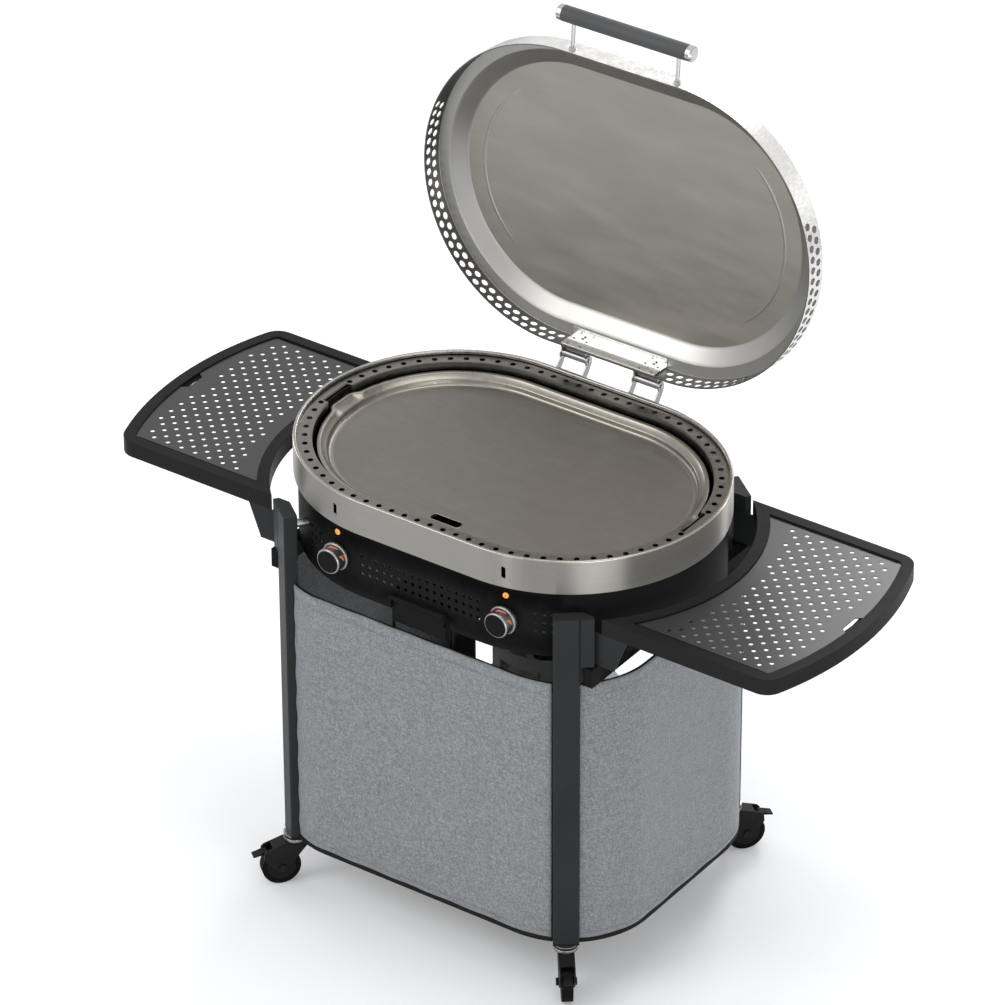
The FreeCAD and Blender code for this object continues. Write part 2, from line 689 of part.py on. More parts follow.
def gas_train():
    """A manifold behind the skirt, its valves, and the inlet that takes the hose."""
    pipe = prism("ManifoldPipe", 12, "manifold_radius", "2 * knob_across + 60", "-knob_across - 30",
                 "-valve_back", "knob_high", X)
    inlet = prism("InletPipe", 10, "manifold_radius - 2", "60", "knob_across + 18", "-valve_back",
                  "knob_high - 60", Z)
    nut = prism("InletNut", 6, "manifold_radius + 3", "16", "knob_across + 18", "-valve_back",
                "knob_high - 76", Z)
    lugs = []
    for k, side in enumerate(("-knob_across / 2", "knob_across / 2")):
        lugs.append(box("ManifoldLug%d" % k, side + " - 12", side + " + 12", "-valve_back - 2",
                        "-valve_back + 2", "knob_high", "pan_floor"))
    manifold = fuse("Manifold", [pipe, inlet, nut] + lugs)
    taps = []
    for k, side in enumerate(("-knob_across", "knob_across")):
        taps.append(prism("ValveBody%d" % k, 12, "valve_radius", "valve_front - valve_back", side,
                          "-valve_front", "knob_high", Y))
    bores = []
    for k, side in enumerate(("-knob_across", "knob_across")):
        bores.append(rod("ValveBore%d" % k, "stem_radius + stem_fit", "21", side, "-valve_front - 1",
                         "knob_high", Y))
    whole = fuse("GasTrainSolid", [manifold] + taps)
    return node(cut("GasTrain", whole, fuse("ValveBores", bores)), "gas_manifold")


def knob(label, side):
    """A turned knob with a silver collar, a pointer groove and its spindle."""
    name = label.title().replace("_", "")
    stem = rod(name + "Stem", "stem_radius", "knob_back - valve_front + 20", side, "-knob_back",
               "knob_high", Y)
    flange = prism(name + "Flange", 24, "knob_flange", "knob_flange_deep", side,
                   "-knob_back - knob_flange_deep", "knob_high", Y)
    grip = held(name + "Holder", [faceted(name + "Grip", 24, [
        ("knob_radius", "knob_back"), ("knob_radius", "knob_front - knob_bevel"),
        ("knob_radius - knob_bevel", "knob_front")])])
    place(grip, side, "0", "knob_high", "90", X)
    groove = box(name + "Groove", side + " - 1.2", side + " + 1.2", "-knob_front - 1", "-knob_front + 0.8",
                 "knob_high + knob_radius * 0.35", "knob_high + knob_radius * 0.85")
    whole = fuse(name + "Solid", [stem, flange, grip])
    return node(cut(name, whole, groove), label)


def indicator_lights():
    """A ring light sits square to the curved skirt above each knob."""
    lights = []
    lean = "asin((knob_across - head_half) / skirt_radius)"
    for side, sign in (("Right", ""), ("Left", "-")):
        light = prism("Light" + side, 16, "light_radius", "light_proud", axis=-Y)
        holder = held("LightHolder" + side, [light])
        reach = "(skirt_radius + light_seat)"
        x = "%s(head_half + %s * sin(%s))" % (sign, reach, lean)
        y = "-%s * cos(%s)" % (reach, lean)
        place(holder, x, y, "light_high", "%s(%s)" % (sign, lean), Z)
        lights.append(holder)
    return node(fuse("Lights", lights), "indicator_lights")


# Grease tray.

def grease_tray():
    tray = body("GreaseTray")
    block = flat_sketch(tray, "TrayOutline", "XY_Plane", z="tray_top - tray_deep")
    outline(block, [("-tray_half", "-tray_front", "4"), ("tray_half", "-tray_front", "4"),
                    ("tray_half", "-tray_back", "4"), ("-tray_half", "-tray_back", "4")])
    solid = pad(tray, "TrayBlock", block, "tray_deep")
    inside = flat_sketch(tray, "TrayInside", "XY_Plane", z="tray_top")
    wide = "tray_half - tray_wall"
    outline(inside, [("-(%s)" % wide, "-tray_front + tray_wall", "3"),
                     (wide, "-tray_front + tray_wall", "3"),
                     (wide, "-tray_back - tray_wall", "3"),
                     ("-(%s)" % wide, "-tray_back - tray_wall", "3")])
    pocket(tray, "TrayHollow", inside, "tray_deep - tray_wall")
    bar_y = "-tray_front - bar_out"
    bar = prism("TrayBar", 16, "bar_radius", "2 * bar_half", "-bar_half", bar_y, "bar_high", X)
    lugs = []
    for k, side in enumerate(("-bar_half", "bar_half - 3")):
        lugs.append(box("TrayLug%d" % k, side, side + " + 3", bar_y, "-tray_front + tray_wall",
                        "tray_top - 14", "bar_high"))
    return node(fuse("GreaseTrayWhole", [tray, bar] + lugs), "grease_tray")


def tray_rails():
    """Angled rails under the burner pan that the tray's sides slide on."""
    rails = []
    low = "tray_top - tray_deep - rail_thick - seat_gap"
    for side, sign in (("Right", "1"), ("Left", "-1")):
        near = "tray_half + seat_gap + 0.2"
        wall = [near, near + " + rail_thick"]
        foot = ["tray_half - 10", near + " + rail_thick"]
        if sign == "-1":
            wall = ["-(%s)" % wall[1], "-(%s)" % wall[0]]
            foot = ["-(%s)" % foot[1], "-(%s)" % foot[0]]
        web = box("RailWeb" + side, wall[0], wall[1], "-skirt_radius + skirt_wall", "-tray_back",
                  low, "tray_notch_top + rail_rise")
        strap = box("RailStrap" + side, wall[0], wall[1], "-tray_back - strap_wide", "-tray_back",
                    low, "pan_floor")
        ledge = box("RailLedge" + side, foot[0], foot[1], "-skirt_radius + skirt_wall + 2",
                    "-tray_back", low, low + " + rail_thick")
        hanger = prism("RailRod" + side, 8, "3", "tray_top - 650",
                       "%s * (tray_half + 5.2)" % sign, "-skirt_radius + 10", "650", Z)
        rails.append(fuse("Rail" + side, [web, strap, ledge, hanger]))
    return node(fuse("TrayRails", rails), "tray_rails")


# Frame: legs, brackets, rails and spacers.

CORNERS = [
    ("front_right", "1", "-1", "leg_turn", "1"),
    ("front_left", "-1", "-1", "-leg_turn", "-1"),
    ("rear_right", "1", "1", "180 - leg_turn", "-1"),
    ("rear_left", "-1", "1", "-180 + leg_turn", "1"),
]


def at_corner(item, corner, z="0"):
    """Stand a piece on a leg's axis, its -Y side facing outwards."""
    name, side, depth, turn, outboard = corner
    return place(item, side + " * leg_across", depth + " * leg_along", z, turn, Z)


def leg_tube(name, extra="0"):
    """A block of the leg's section in the leg's own axes, larger by a gap where one is given."""
    wide, deep = "leg_wide / 2 + (%s)" % extra, "leg_deep / 2 + (%s)" % extra
    return box(name, "-(%s)" % wide, wide, "-(%s)" % deep, deep, "base_bottom - 20", "leg_top + 20")


def leg(corner):
    name = corner[0]
    tube = body("Leg_" + name)
    section = flat_sketch(tube, "LegSection_" + name, "XY_Plane", z="leg_bottom")
    wide, deep = "leg_wide / 2", "leg_deep / 2"
    corners = []
    for across, along, first in (("-", "-", 1), ("", "-", 0), ("", "", 1), ("-", "", 0)):
        inset = [(across + "(%s - leg_bevel)" % wide, along + deep), (across + wide, along + "(%s - leg_bevel)" % deep)]
        corners += inset[::-1] if first else inset
    outline(section, corners)
    pad(tube, "LegPad_" + name, section, "leg_top - leg_bottom")
    hollow = flat_sketch(tube, "LegHollow_" + name, "XY_Plane", z="leg_top - 3")
    wide, deep = "(leg_wide / 2 - leg_wall)", "(leg_deep / 2 - leg_wall)"
    outline(hollow, [("-" + wide, "-" + deep), (wide, "-" + deep), (wide, deep), ("-" + wide, deep)])
    pocket(tube, "LegBore_" + name, hollow, "leg_top - leg_bottom - 3")
    at_corner(tube, corner)
    return node(tube, "leg_" + name)


def shelf_bracket(corner):
    """A block beside the leg, trimmed by the shelf's edge, and a gusset under the shelf."""
    name, side, depth, turn, outboard = corner
    low = "leg_top - bracket_tall"
    near, far = "leg_wide / 2", "leg_wide / 2 + bracket_wide"
    span = (near, far) if outboard == "1" else ("-(%s)" % far, "-(%s)" % near)
    block = box("BracketBlock_" + name, span[0], span[1], "-leg_deep / 2", "leg_deep / 2", low,
                "leg_top")
    block = at_corner(held("BracketHolder_" + name, [block]), corner)
    inside = box("BracketTrim_" + name, "-600", "600", "-shelf_half", "shelf_half", "500", "1000")
    outer = cut("BracketOuter_" + name, block, inside)
    gusset = body("Gusset_" + name)
    plane = flat_sketch(gusset, "GussetOutline_" + name, "XZ_Plane")
    start = "side_rail_inner - 10"
    roof = "shelf_top - shelf_thick"
    points = [(start, low), ("side_rail_inner + gusset_long", low),
              ("side_rail_inner + gusset_long + 26", roof), (start, roof)]
    outline(plane, [("%s * (%s)" % (side, x), z) for x, z in points])
    pad(gusset, "GussetPad_" + name, plane, "gusset_thick")
    shift = "-shelf_half + gusset_thick" if depth == "-1" else "shelf_half"
    place(gusset, y=shift)
    return node(fuse("Bracket_" + name, [outer, gusset]), "shelf_bracket_" + name)


def spacers():
    """Round spacers between the legs and the control skirt."""
    items = []
    for corner in CORNERS:
        name, side, depth, turn, outboard = corner
        blank = prism("SpacerBlank_" + name, 12, "spacer_radius", "spacer_long", axis=Y)
        holder = held("SpacerHolder_" + name, [blank])
        x = "%s * (leg_across - leg_deep / 2 * sin(leg_turn))" % side
        y = "%s * (leg_along - leg_deep / 2 * cos(leg_turn))" % depth
        place(holder, x, y, "spacer_high", turn, Z)
        head = rod("SpacerTrim_" + name, "skirt_radius", "100", side + " * head_half", "0",
                   "spacer_high - 50")
        items.append(cut("Spacer_" + name, holder, head))
    return node(fuse("Spacers", items), "head_spacers")


def side_rail(label, sign):
    near, far = "side_rail_inner", "side_rail_inner + side_rail_wide"
    span = (near, far) if sign > 0 else ("-(%s)" % far, "-(%s)" % near)
    rail = box(label.title(), span[0], span[1], "-side_rail_half", "side_rail_half",
               "side_rail_high", "side_rail_high + side_rail_tall")
    return node(rail, label)


def rear_crossbar():
    bar = box("CrossBar", "-leg_across", "leg_across", "leg_along - cross_deep / 2",
              "leg_along + cross_deep / 2", "fabric_top - cross_tall", "fabric_top")
    for corner in CORNERS[2:]:
        bar = cut("CrossBarTrim_" + corner[0], bar, at_corner_box(corner, "0"))
    return node(bar, "rear_crossbar")


def at_corner_box(corner, extra):
    """The leg's section at its corner, as a cutting tool."""
    at_corner_box.count += 1
    tool = leg_tube("LegSpace%d_%s" % (at_corner_box.count, corner[0]), extra)
    name, side, depth, turn, outboard = corner
    wide, deep = "(leg_wide / 2 + (%s))" % extra, "(leg_deep / 2 + (%s))" % extra
    x = "%s * leg_across - %s * cos(%s) + %s * sin(%s)" % (side, wide, turn, deep, turn)
    y = "%s * leg_along - %s * sin(%s) - %s * cos(%s)" % (depth, wide, turn, deep, turn)
    return place(tool, x, y, "base_bottom - 20", turn, Z)


at_corner_box.count = 0


# Base: bottom shelf, fabric and its hem bars.

def rounded(owner, name, z, inset):
    """The fabric's rounded rectangle, drawn smaller by an inset."""
    sketch = flat_sketch(owner, name, "XY_Plane", z=z)
    x, y, turn = "(base_half_long - (%s))" % inset, "(base_half_deep - (%s))" % inset, \
        "base_corner - (%s)" % inset
    return outline(sketch, [("-" + x, "-" + y, turn), (x, "-" + y, turn), (x, y, turn),
                            ("-" + x, y, turn)])


def bottom_shelf():
    """A pressed tray, open at the rear so that the cylinder slides in on its sheet."""
    tray = body("BottomShelf")
    block = rounded(tray, "ShelfOutline", "base_bottom", "0")
    pad(tray, "ShelfBlock", block, "base_rim")
    inside = rounded(tray, "ShelfInside", "base_bottom + base_rim", "base_rim_wide")
    pocket(tray, "ShelfHollow", inside, "base_rim - base_sheet")
    gate = flat_sketch(tray, "ShelfGate", "XY_Plane", z="base_bottom + base_rim")
    outline(gate, [("-gate_half", "0"), ("gate_half", "0"), ("gate_half", "base_half_deep + 5"),
                   ("-gate_half", "base_half_deep + 5")])
    pocket(tray, "ShelfGateCut", gate, "base_rim - base_sheet")
    whole = tray
    for corner in CORNERS:
        whole = cut("ShelfCorner_" + corner[0], whole, at_corner_box(corner, "leg_gap"))
    return node(whole, "bottom_shelf")


def wrap(name, inset, thick, low, high, gap):
    """A band round the base, cut through at the legs."""
    band = body(name)
    outer = rounded(band, name + "Outer", low, inset)
    pad(band, name + "Pad", outer, "(%s) - (%s)" % (high, low))
    inner = rounded(band, name + "Inner", high, "(%s) + (%s)" % (inset, thick))
    pocket(band, name + "Pocket", inner, "(%s) - (%s)" % (high, low))
    whole = band
    for corner in CORNERS:
        whole = cut(name + "Cut_" + corner[0], whole, at_corner_box(corner, gap))
    return whole


def side_of(name, whole, side):
    """The stretch of a band between two neighbouring legs."""
    spans = {
        "front": ("-leg_across", "leg_across", "-500", "-leg_along / 2"),
        "right": ("leg_across", "600", "-leg_along", "leg_along"),
        "left": ("-600", "-leg_across", "-leg_along", "leg_along"),
    }
    x0, x1, y0, y1 = spans[side]
    region = box(name + "Region", x0, x1, y0, y1, "0", "1000")
    return common(name, whole, region)


def fabric_panels():
    cloth = wrap("Fabric", "0", "fabric_thick", "base_bottom + base_rim + fabric_gap", "fabric_top",
                 "fabric_gap")
    for side in ("front", "right", "left"):
        node(side_of("Fabric" + side.title(), cloth, side), "fabric_" + side)


def hem_bars():
    """Flat bars inside the fabric's top hem, from leg to leg."""
    bars = wrap("Hem", "fabric_thick + fabric_gap", "hem_thick", "fabric_top - hem_tall",
                "fabric_top - 2", "0")
    three = [side_of("Hem" + side.title(), bars, side) for side in ("front", "right", "left")]
    return node(fuse("HemBars", three), "hem_bars")


# Gas cylinder.

DECK = "base_bottom + base_sheet + seat_gap"


def gas_cylinder():
    """A welded tank on its foot ring, with many flat sides in place of its round ones."""
    skin = faceted("TankSkin", 40, [
        ("gas_foot_radius + gas_sheet", "gas_foot_tall - 6"),
        ("gas_radius - 18", "gas_foot_tall + 12"),
        ("gas_radius", "gas_foot_tall + 48"),
        ("gas_radius", "gas_shoulder"),
        ("gas_radius - 75 + dome_wide", "gas_crown - dome_fall"),
        ("gas_radius - 75", "gas_crown"),
    ])
    foot = prism("TankFoot", 40, "gas_foot_radius + gas_sheet", "gas_foot_tall - 6")
    under = prism("TankUnder", 40, "gas_foot_radius", "gas_foot_tall")
    room = faceted("TankRoom", 24, [
        ("gas_foot_radius", "gas_foot_tall + gas_sheet"),
        ("gas_radius - 18 - gas_sheet", "gas_foot_tall + 12 + 2 * gas_sheet"),
        ("gas_radius - gas_sheet", "gas_foot_tall + 52"),
        ("gas_radius - gas_sheet", "gas_shoulder - gas_sheet"),
        ("gas_radius - 75 + dome_wide - gas_sheet", "gas_crown - dome_fall - gas_sheet"),
        ("gas_radius - 78", "gas_crown - gas_sheet"),
    ])
    tank = cut("Tank", cut("TankShell", fuse("TankSolid", [skin, foot]), under), room)
    place(tank, "gas_x", "gas_y", DECK)
    node(tank, "gas_cylinder")
    return skin


def gas_collar(skin):
    """A guard ring with two hand holes and a gap for the hose. It stands on the tank's dome."""
    low = "gas_crown - 2 * dome_fall"
    outer = prism("CollarOuter", 40, "collar_radius", "collar_tall - (%s)" % low, z=low)
    inner = prism("CollarInner", 40, "collar_radius - collar_wall", "collar_tall", z=low + " - 1")
    hand = box("HandHole", "-45", "45", "-collar_radius - 5", "collar_radius + 5",
               "gas_crown + 48", "gas_crown + 78")
    gap = box("HoseGap", "-200", "0", "-42", "42", "gas_crown + 14", "collar_tall + 5")
    collar = cut("CollarRing", outer, inner)
    for name, tool in (("CollarSeat", skin), ("CollarHands", hand), ("CollarGap", gap)):
        collar = cut(name, collar, tool)
    place(collar, "gas_x", "gas_y", DECK)
    return node(collar, "gas_collar")


def gas_valve():
    """The valve on the dome: boss, body and a side outlet that faces the collar's gap."""
    boss = prism("ValveBoss", 12, "20", "14", z="gas_crown")
    block = prism("ValveBlock", 8, "14", "44", z="gas_crown")
    outlet = prism("ValveOutlet", 12, "11", "44", x="-44", z="gas_crown + 30", axis=X)
    bore = rod("SpindleBore", "stem_radius + stem_fit", "20", z="gas_crown + 30")
    whole = cut("ValveWhole", fuse("ValveSolid", [boss, block, outlet]), bore)
    place(whole, "gas_x", "gas_y", DECK)
    return node(whole, "gas_valve")


def gas_handwheel():
    """A lobed wheel on its spindle."""
    rim = body("HandwheelRim")
    lobes = flat_sketch(rim, "HandwheelLobes", "XY_Plane", z="50")
    outline(lobes, [("handwheel_radius * %g * cos(%g)" % (1 if k % 4 < 2 else 0.86, 11.25 * k),
                     "handwheel_radius * %g * sin(%g)" % (1 if k % 4 < 2 else 0.86, 11.25 * k))
                    for k in range(32)])
    pad(rim, "HandwheelPad", lobes, "handwheel_tall")
    spindle = rod("HandwheelSpindle", "stem_radius", "19", z="32")
    wheel = fuse("Handwheel", [rim, spindle])
    place(wheel, "gas_x", "gas_y", "%s + gas_crown" % DECK)
    return node(wheel, "gas_handwheel")


# Side shelves.

def shelf_outline(sketch, inset):
    """Two straight edges, a hollow inner curve, a full outer curve and two round corners."""
    gap = value(inset)
    half = value("shelf_half") - gap
    near_centre, far_centre = value("head_half"), value("shelf_outer_centre")
    near, far = value("shelf_inner") + gap, value("shelf_outer") - gap
    corner = max(value("shelf_corner") - gap, 2)
    near_x = near_centre + math.sqrt(near ** 2 - half ** 2)
    turn_y = half - corner
    turn_x = far_centre + math.sqrt((far - corner) ** 2 - turn_y ** 2)
    lean = math.atan2(turn_y, turn_x - far_centre)
    reach = math.atan2(half, near_x - near_centre)
    circle = lambda x, y, radius: Part.Circle(V(x, y, 0), Z, radius)
    inner = sketch.addGeometry(Part.ArcOfCircle(circle(near_centre, 0, near), -reach, reach), False)
    front = sketch.addGeometry(Part.LineSegment(V(near_x, -half, 0), V(turn_x, -half, 0)), False)
    front_turn = sketch.addGeometry(
        Part.ArcOfCircle(circle(turn_x, -turn_y, corner), -math.pi / 2, -lean), False)
    outer = sketch.addGeometry(Part.ArcOfCircle(circle(far_centre, 0, far), -lean, lean), False)
    rear_turn = sketch.addGeometry(
        Part.ArcOfCircle(circle(turn_x, turn_y, corner), lean, math.pi / 2), False)
    rear = sketch.addGeometry(Part.LineSegment(V(turn_x, half, 0), V(near_x, half, 0)), False)
    for kind, first, first_end, second, second_end in (
            ("Coincident", inner, 1, front, 1), ("Tangent", front, 2, front_turn, 1),
            ("Tangent", front_turn, 2, outer, 1), ("Tangent", outer, 2, rear_turn, 1),
            ("Tangent", rear_turn, 2, rear, 1), ("Coincident", rear, 2, inner, 2)):
        sketch.addConstraint(Sketcher.Constraint(kind, first, first_end, second, second_end))
    sketch.addConstraint(Sketcher.Constraint("Horizontal", front))
    sketch.addConstraint(Sketcher.Constraint("Horizontal", rear))
    hold(sketch, inner, 3, "head_half", "0")
    hold(sketch, outer, 3, "shelf_outer_centre", "0")
    sizes = [(inner, "shelf_inner + (%s)" % inset), (outer, "shelf_outer - (%s)" % inset)]
    sizes += [(arc, "max(shelf_corner - (%s); 2)" % inset) for arc in (front_turn, rear_turn)]
    for arc, text in sizes:
        at = sketch.addConstraint(Sketcher.Constraint("Radius", arc, value(text)))
        sketch.setExpression("Constraints[%d]" % at, tied(text))
    for edge, sign in ((front, "-1"), (rear, "1")):
        ends = (-1, 1, edge, 1) if sign == "1" else (edge, 1, -1, 1)
        at = sketch.addConstraint(Sketcher.Constraint("DistanceY", *ends, half))
        sketch.setExpression("Constraints[%d]" % at, tied("shelf_half - (%s)" % inset))
    return sketch


def coarse_shelf_outline(sketch, inset, near_gap):
    """The shelf's outline with straight sides, for the faces that are out of sight."""
    near, far = "(shelf_inner + %s + %s)" % (inset, near_gap), "(shelf_outer - (%s))" % inset
    half = "(shelf_half - (%s))" % inset
    corners = []
    for step in (1, 0.5, 0, -0.5, -1):
        turn = "%g * asin(%s / %s)" % (step, half, near)
        corners.append(("head_half + %s * cos(%s)" % (near, turn), "%s * sin(%s)" % (near, turn)))
    for step in (-1, -0.5, 0, 0.5, 1):
        turn = "%g * asin((%s - shelf_corner / 2) / %s)" % (step, half, far)
        corners.append(("shelf_outer_centre + %s * cos(%s)" % (far, turn), "%s * sin(%s)" % (far, turn)))
    corners.insert(5, ("shelf_outer_centre + %s * cos(%s) - shelf_corner / 2" % (far, turn), "-" + half))
    corners.append(("shelf_outer_centre + %s * cos(%s) - shelf_corner / 2" % (far, turn), half))
    return outline(sketch, corners)


def shelf_frame():
    frame = body("ShelfFrame")
    under = "shelf_top - shelf_thick"
    block = shelf_outline(flat_sketch(frame, "ShelfBlockOutline", "XY_Plane", z=under), "0")
    pad(frame, "ShelfFrameBlock", block, "shelf_thick")
    hollow = coarse_shelf_outline(flat_sketch(frame, "ShelfHollowOutline", "XY_Plane", z=under),
                                  "shelf_sheet", "5")
    seat = "shelf_recess + shelf_plate_thick"
    pocket(frame, "ShelfFrameHollow", hollow, "shelf_thick - (%s) - shelf_ledge_thick" % seat, back=True)
    window = shelf_outline(flat_sketch(frame, "ShelfWindow", "XY_Plane", z="shelf_top"), "shelf_border")
    pocket(frame, "ShelfWindowCut", window, seat)
    middle = flat_sketch(frame, "ShelfMiddle", "XY_Plane", z="shelf_top")
    pocket(frame, "ShelfMiddleCut", coarse_shelf_outline(middle, "(shelf_border + shelf_ledge)", "0"),
           "shelf_thick")
    return frame


def shelf_plate():
    """The plate lies inside the border, on its ledge, with a finger notch at its outer edge."""
    plate = body("ShelfPlate")
    low = "shelf_top - shelf_recess - shelf_plate_thick"
    inset = "shelf_border + shelf_plate_gap"
    block = shelf_outline(flat_sketch(plate, "PlateOutline", "XY_Plane", z=low), inset)
    pad(plate, "PlatePad", block, "shelf_plate_thick")
    notch = flat_sketch(plate, "FingerNotch", "XY_Plane", z=low + " + shelf_plate_thick")
    edge = "shelf_outer_centre + shelf_outer - shelf_border"
    outline(notch, [(edge + " - finger_deep", "-finger_half + 6"), (edge + " + 20", "-finger_half"),
                    (edge + " + 20", "finger_half"), (edge + " - finger_deep", "finger_half - 6")])
    pocket(plate, "FingerNotchCut", notch, "shelf_plate_thick")
    return plate


def side_shelves():
    frame, plate = shelf_frame(), shelf_plate()
    node(frame, "shelf_frame_right")
    node(plate, "shelf_plate_right")
    node(mirrored("ShelfFrameLeft", frame, X), "shelf_frame_left")
    node(mirrored("ShelfPlateLeft", plate, X), "shelf_plate_left")


# Lid, hinge and handle. The pieces are drawn closed and then opened about the hinge.

FALL = "(rim_top + lid_gap - hinge_z)"
OPEN_Y = "hinge_y - hinge_y * cos(open_angle) + %s * sin(open_angle)" % FALL
OPEN_Z = "hinge_z + hinge_y * sin(open_angle) + %s * cos(open_angle)" % FALL


def opened(item):
    """Turn a lid piece, drawn above its own lip, back to the open pose."""
    return place(item, "0", OPEN_Y, OPEN_Z, "-open_angle", X)


def lid_shell():
    thin = "lid_wall"
    shell, last = obround("LidShell", [
        ("lid_radius - lid_wall", "0"),
        ("lid_radius", "0"),
        ("lid_radius", "lid_wall_tall"),
        ("lid_ledge", "lid_wall_tall"),
        ("lid_panel", "lid_tall"),
        ("0", "lid_tall"),
        ("0", "lid_tall - lid_wall"),
        ("lid_panel - 0.5", "lid_tall - lid_wall"),
        ("lid_ledge - 0.5", "lid_wall_tall - lid_wall"),
        ("lid_radius - lid_wall", "lid_wall_tall - lid_wall"),
    ])
    holes = flat_sketch(shell, "HandleHoles", "XZ_Plane")
    for side in ("post_across", "-post_across"):
        outline(holes, many_sided(8, side, "handle_up", "handle_post"))
    pocket(shell, "HandleHoleCut", holes, "2 * lid_radius", back=True)
    opened(shell)
    return node(shell, "lid_shell")


def lid_hinge_leaf():
    """A bent plate inside the rear wall that backs the hinges."""
    leaf = body("LidLeaf")
    inner = "(lid_radius - lid_wall)"
    high = "lid_wall_tall - lid_wall"
    profile = flat_sketch(leaf, "LeafProfile", "YZ_Plane")
    outline(profile, [
        (inner, "4"), (inner, high), (inner + " - leaf_deep", high),
        (inner + " - leaf_deep", high + " - leaf_thick"), (inner + " - leaf_thick", high + " - leaf_thick"),
        (inner + " - leaf_thick", "4")])
    pad(leaf, "LeafPad", profile, "2 * leaf_half", middle=True)
    opened(leaf)
    return node(leaf, "lid_hinge_leaf")


def lid_knuckles():
    """Bored barrels on pads that are screwed to the lid's rear wall."""
    pieces = []
    axis_high = "(hinge_z - rim_top - lid_gap)"
    for side, middle in (("Right", "hinge_across"), ("Left", "-hinge_across")):
        start, end = middle + " - barrel_half", middle + " + barrel_half"
        barrel = rod("Barrel" + side, "barrel_radius", "2 * barrel_half", start, "hinge_y", axis_high, X)
        web = box("BarrelWeb" + side, start, end, "lid_radius + web_thick", "hinge_y - pin_radius - 1",
                  axis_high + " - web_thick / 2", axis_high + " + web_thick / 2")
        plate = box("BarrelPad" + side, start, end, "lid_radius", "lid_radius + web_thick",
                    axis_high + " - 14", axis_high + " + 18")
        cheeks = []
        for k, edge in enumerate((start, end + " - web_thick")):
            cheek = body("Cheek%s%d" % (side, k))
            face = flat_sketch(cheek, "CheekFace%s%d" % (side, k), "YZ_Plane", z=edge)
            outline(face, [("lid_radius + web_thick / 2", axis_high + " - 12"), ("hinge_y", axis_high + " - 5"),
                           ("hinge_y", axis_high + " + 5"), ("lid_radius + web_thick / 2", axis_high + " + 16")])
            pad(cheek, "CheekPad%s%d" % (side, k), face, "web_thick")
            cheeks.append(cheek)
        bore = rod("BarrelBore" + side, "pin_radius + stem_fit", "2 * barrel_half + 2", start + " - 1",
                   "hinge_y", axis_high, X)
        solid = fuse("KnuckleSolid" + side, [barrel, web, plate] + cheeks)
        pieces.append(cut("Knuckle" + side, solid, bore))
    both = fuse("Knuckles", pieces)
    opened(both)
    return node(both, "lid_knuckles")


def hinge_base():
    """Two brackets on the band's rear face, each with two ears round the barrel."""
    brackets = []
    for side, middle in (("Right", "hinge_across"), ("Left", "-hinge_across")):
        start = middle + " - barrel_half - ear_gap - ear_thick"
        end = middle + " + barrel_half + ear_gap + ear_thick"
        plate = box("BasePlate" + side, start, end, "rim_radius", "rim_radius + ear_thick", "hinge_foot",
                    "hinge_head")
        parts = [plate]
        for k, edge in enumerate((start, end + " - ear_thick")):
            ear = body("Ear%s%d" % (side, k))
            face = flat_sketch(ear, "EarFace%s%d" % (side, k), "YZ_Plane", z=edge)
            outline(face, [
                ("rim_radius + ear_thick / 2", "hinge_foot"),
                ("hinge_y", "hinge_z - ear_radius - 12"),
                ("hinge_y + ear_radius", "hinge_z - ear_radius + 2"),
                ("hinge_y + ear_radius", "hinge_z + ear_radius / 3"),
                ("hinge_y + ear_radius / 3", "hinge_z + ear_radius"),
                ("hinge_y - ear_radius / 3", "hinge_z + ear_radius"),
                ("hinge_y - ear_radius", "hinge_z + ear_radius / 3"),
                ("hinge_y - ear_radius", "hinge_z - ear_radius + 2"),
                ("rim_radius + ear_thick / 2", "hinge_head")])
            pad(ear, "EarPad%s%d" % (side, k), face, "ear_thick")
            parts.append(ear)
        solid = fuse("BaseSolid" + side, parts)
        bore = prism("BaseBore" + side, 12, "pin_radius / cos(15)",
                     "2 * (barrel_half + ear_gap + ear_thick) + 2", start + " - 1", "hinge_y", "hinge_z", X)
        brackets.append(cut("Base" + side, solid, bore))
    return node(fuse("HingeBase", brackets), "hinge_base")


def hinge_pins():
    pins = []
    for side, middle in (("Right", "hinge_across"), ("Left", "-hinge_across")):
        start = middle + " - barrel_half - ear_gap - ear_thick - 2"
        pins.append(rod("HingePin" + side, "pin_radius", "2 * (barrel_half + ear_gap + ear_thick + 2)",
                        start, "hinge_y", "hinge_z", X))
    return node(fuse("HingePins", pins), "hinge_pins")


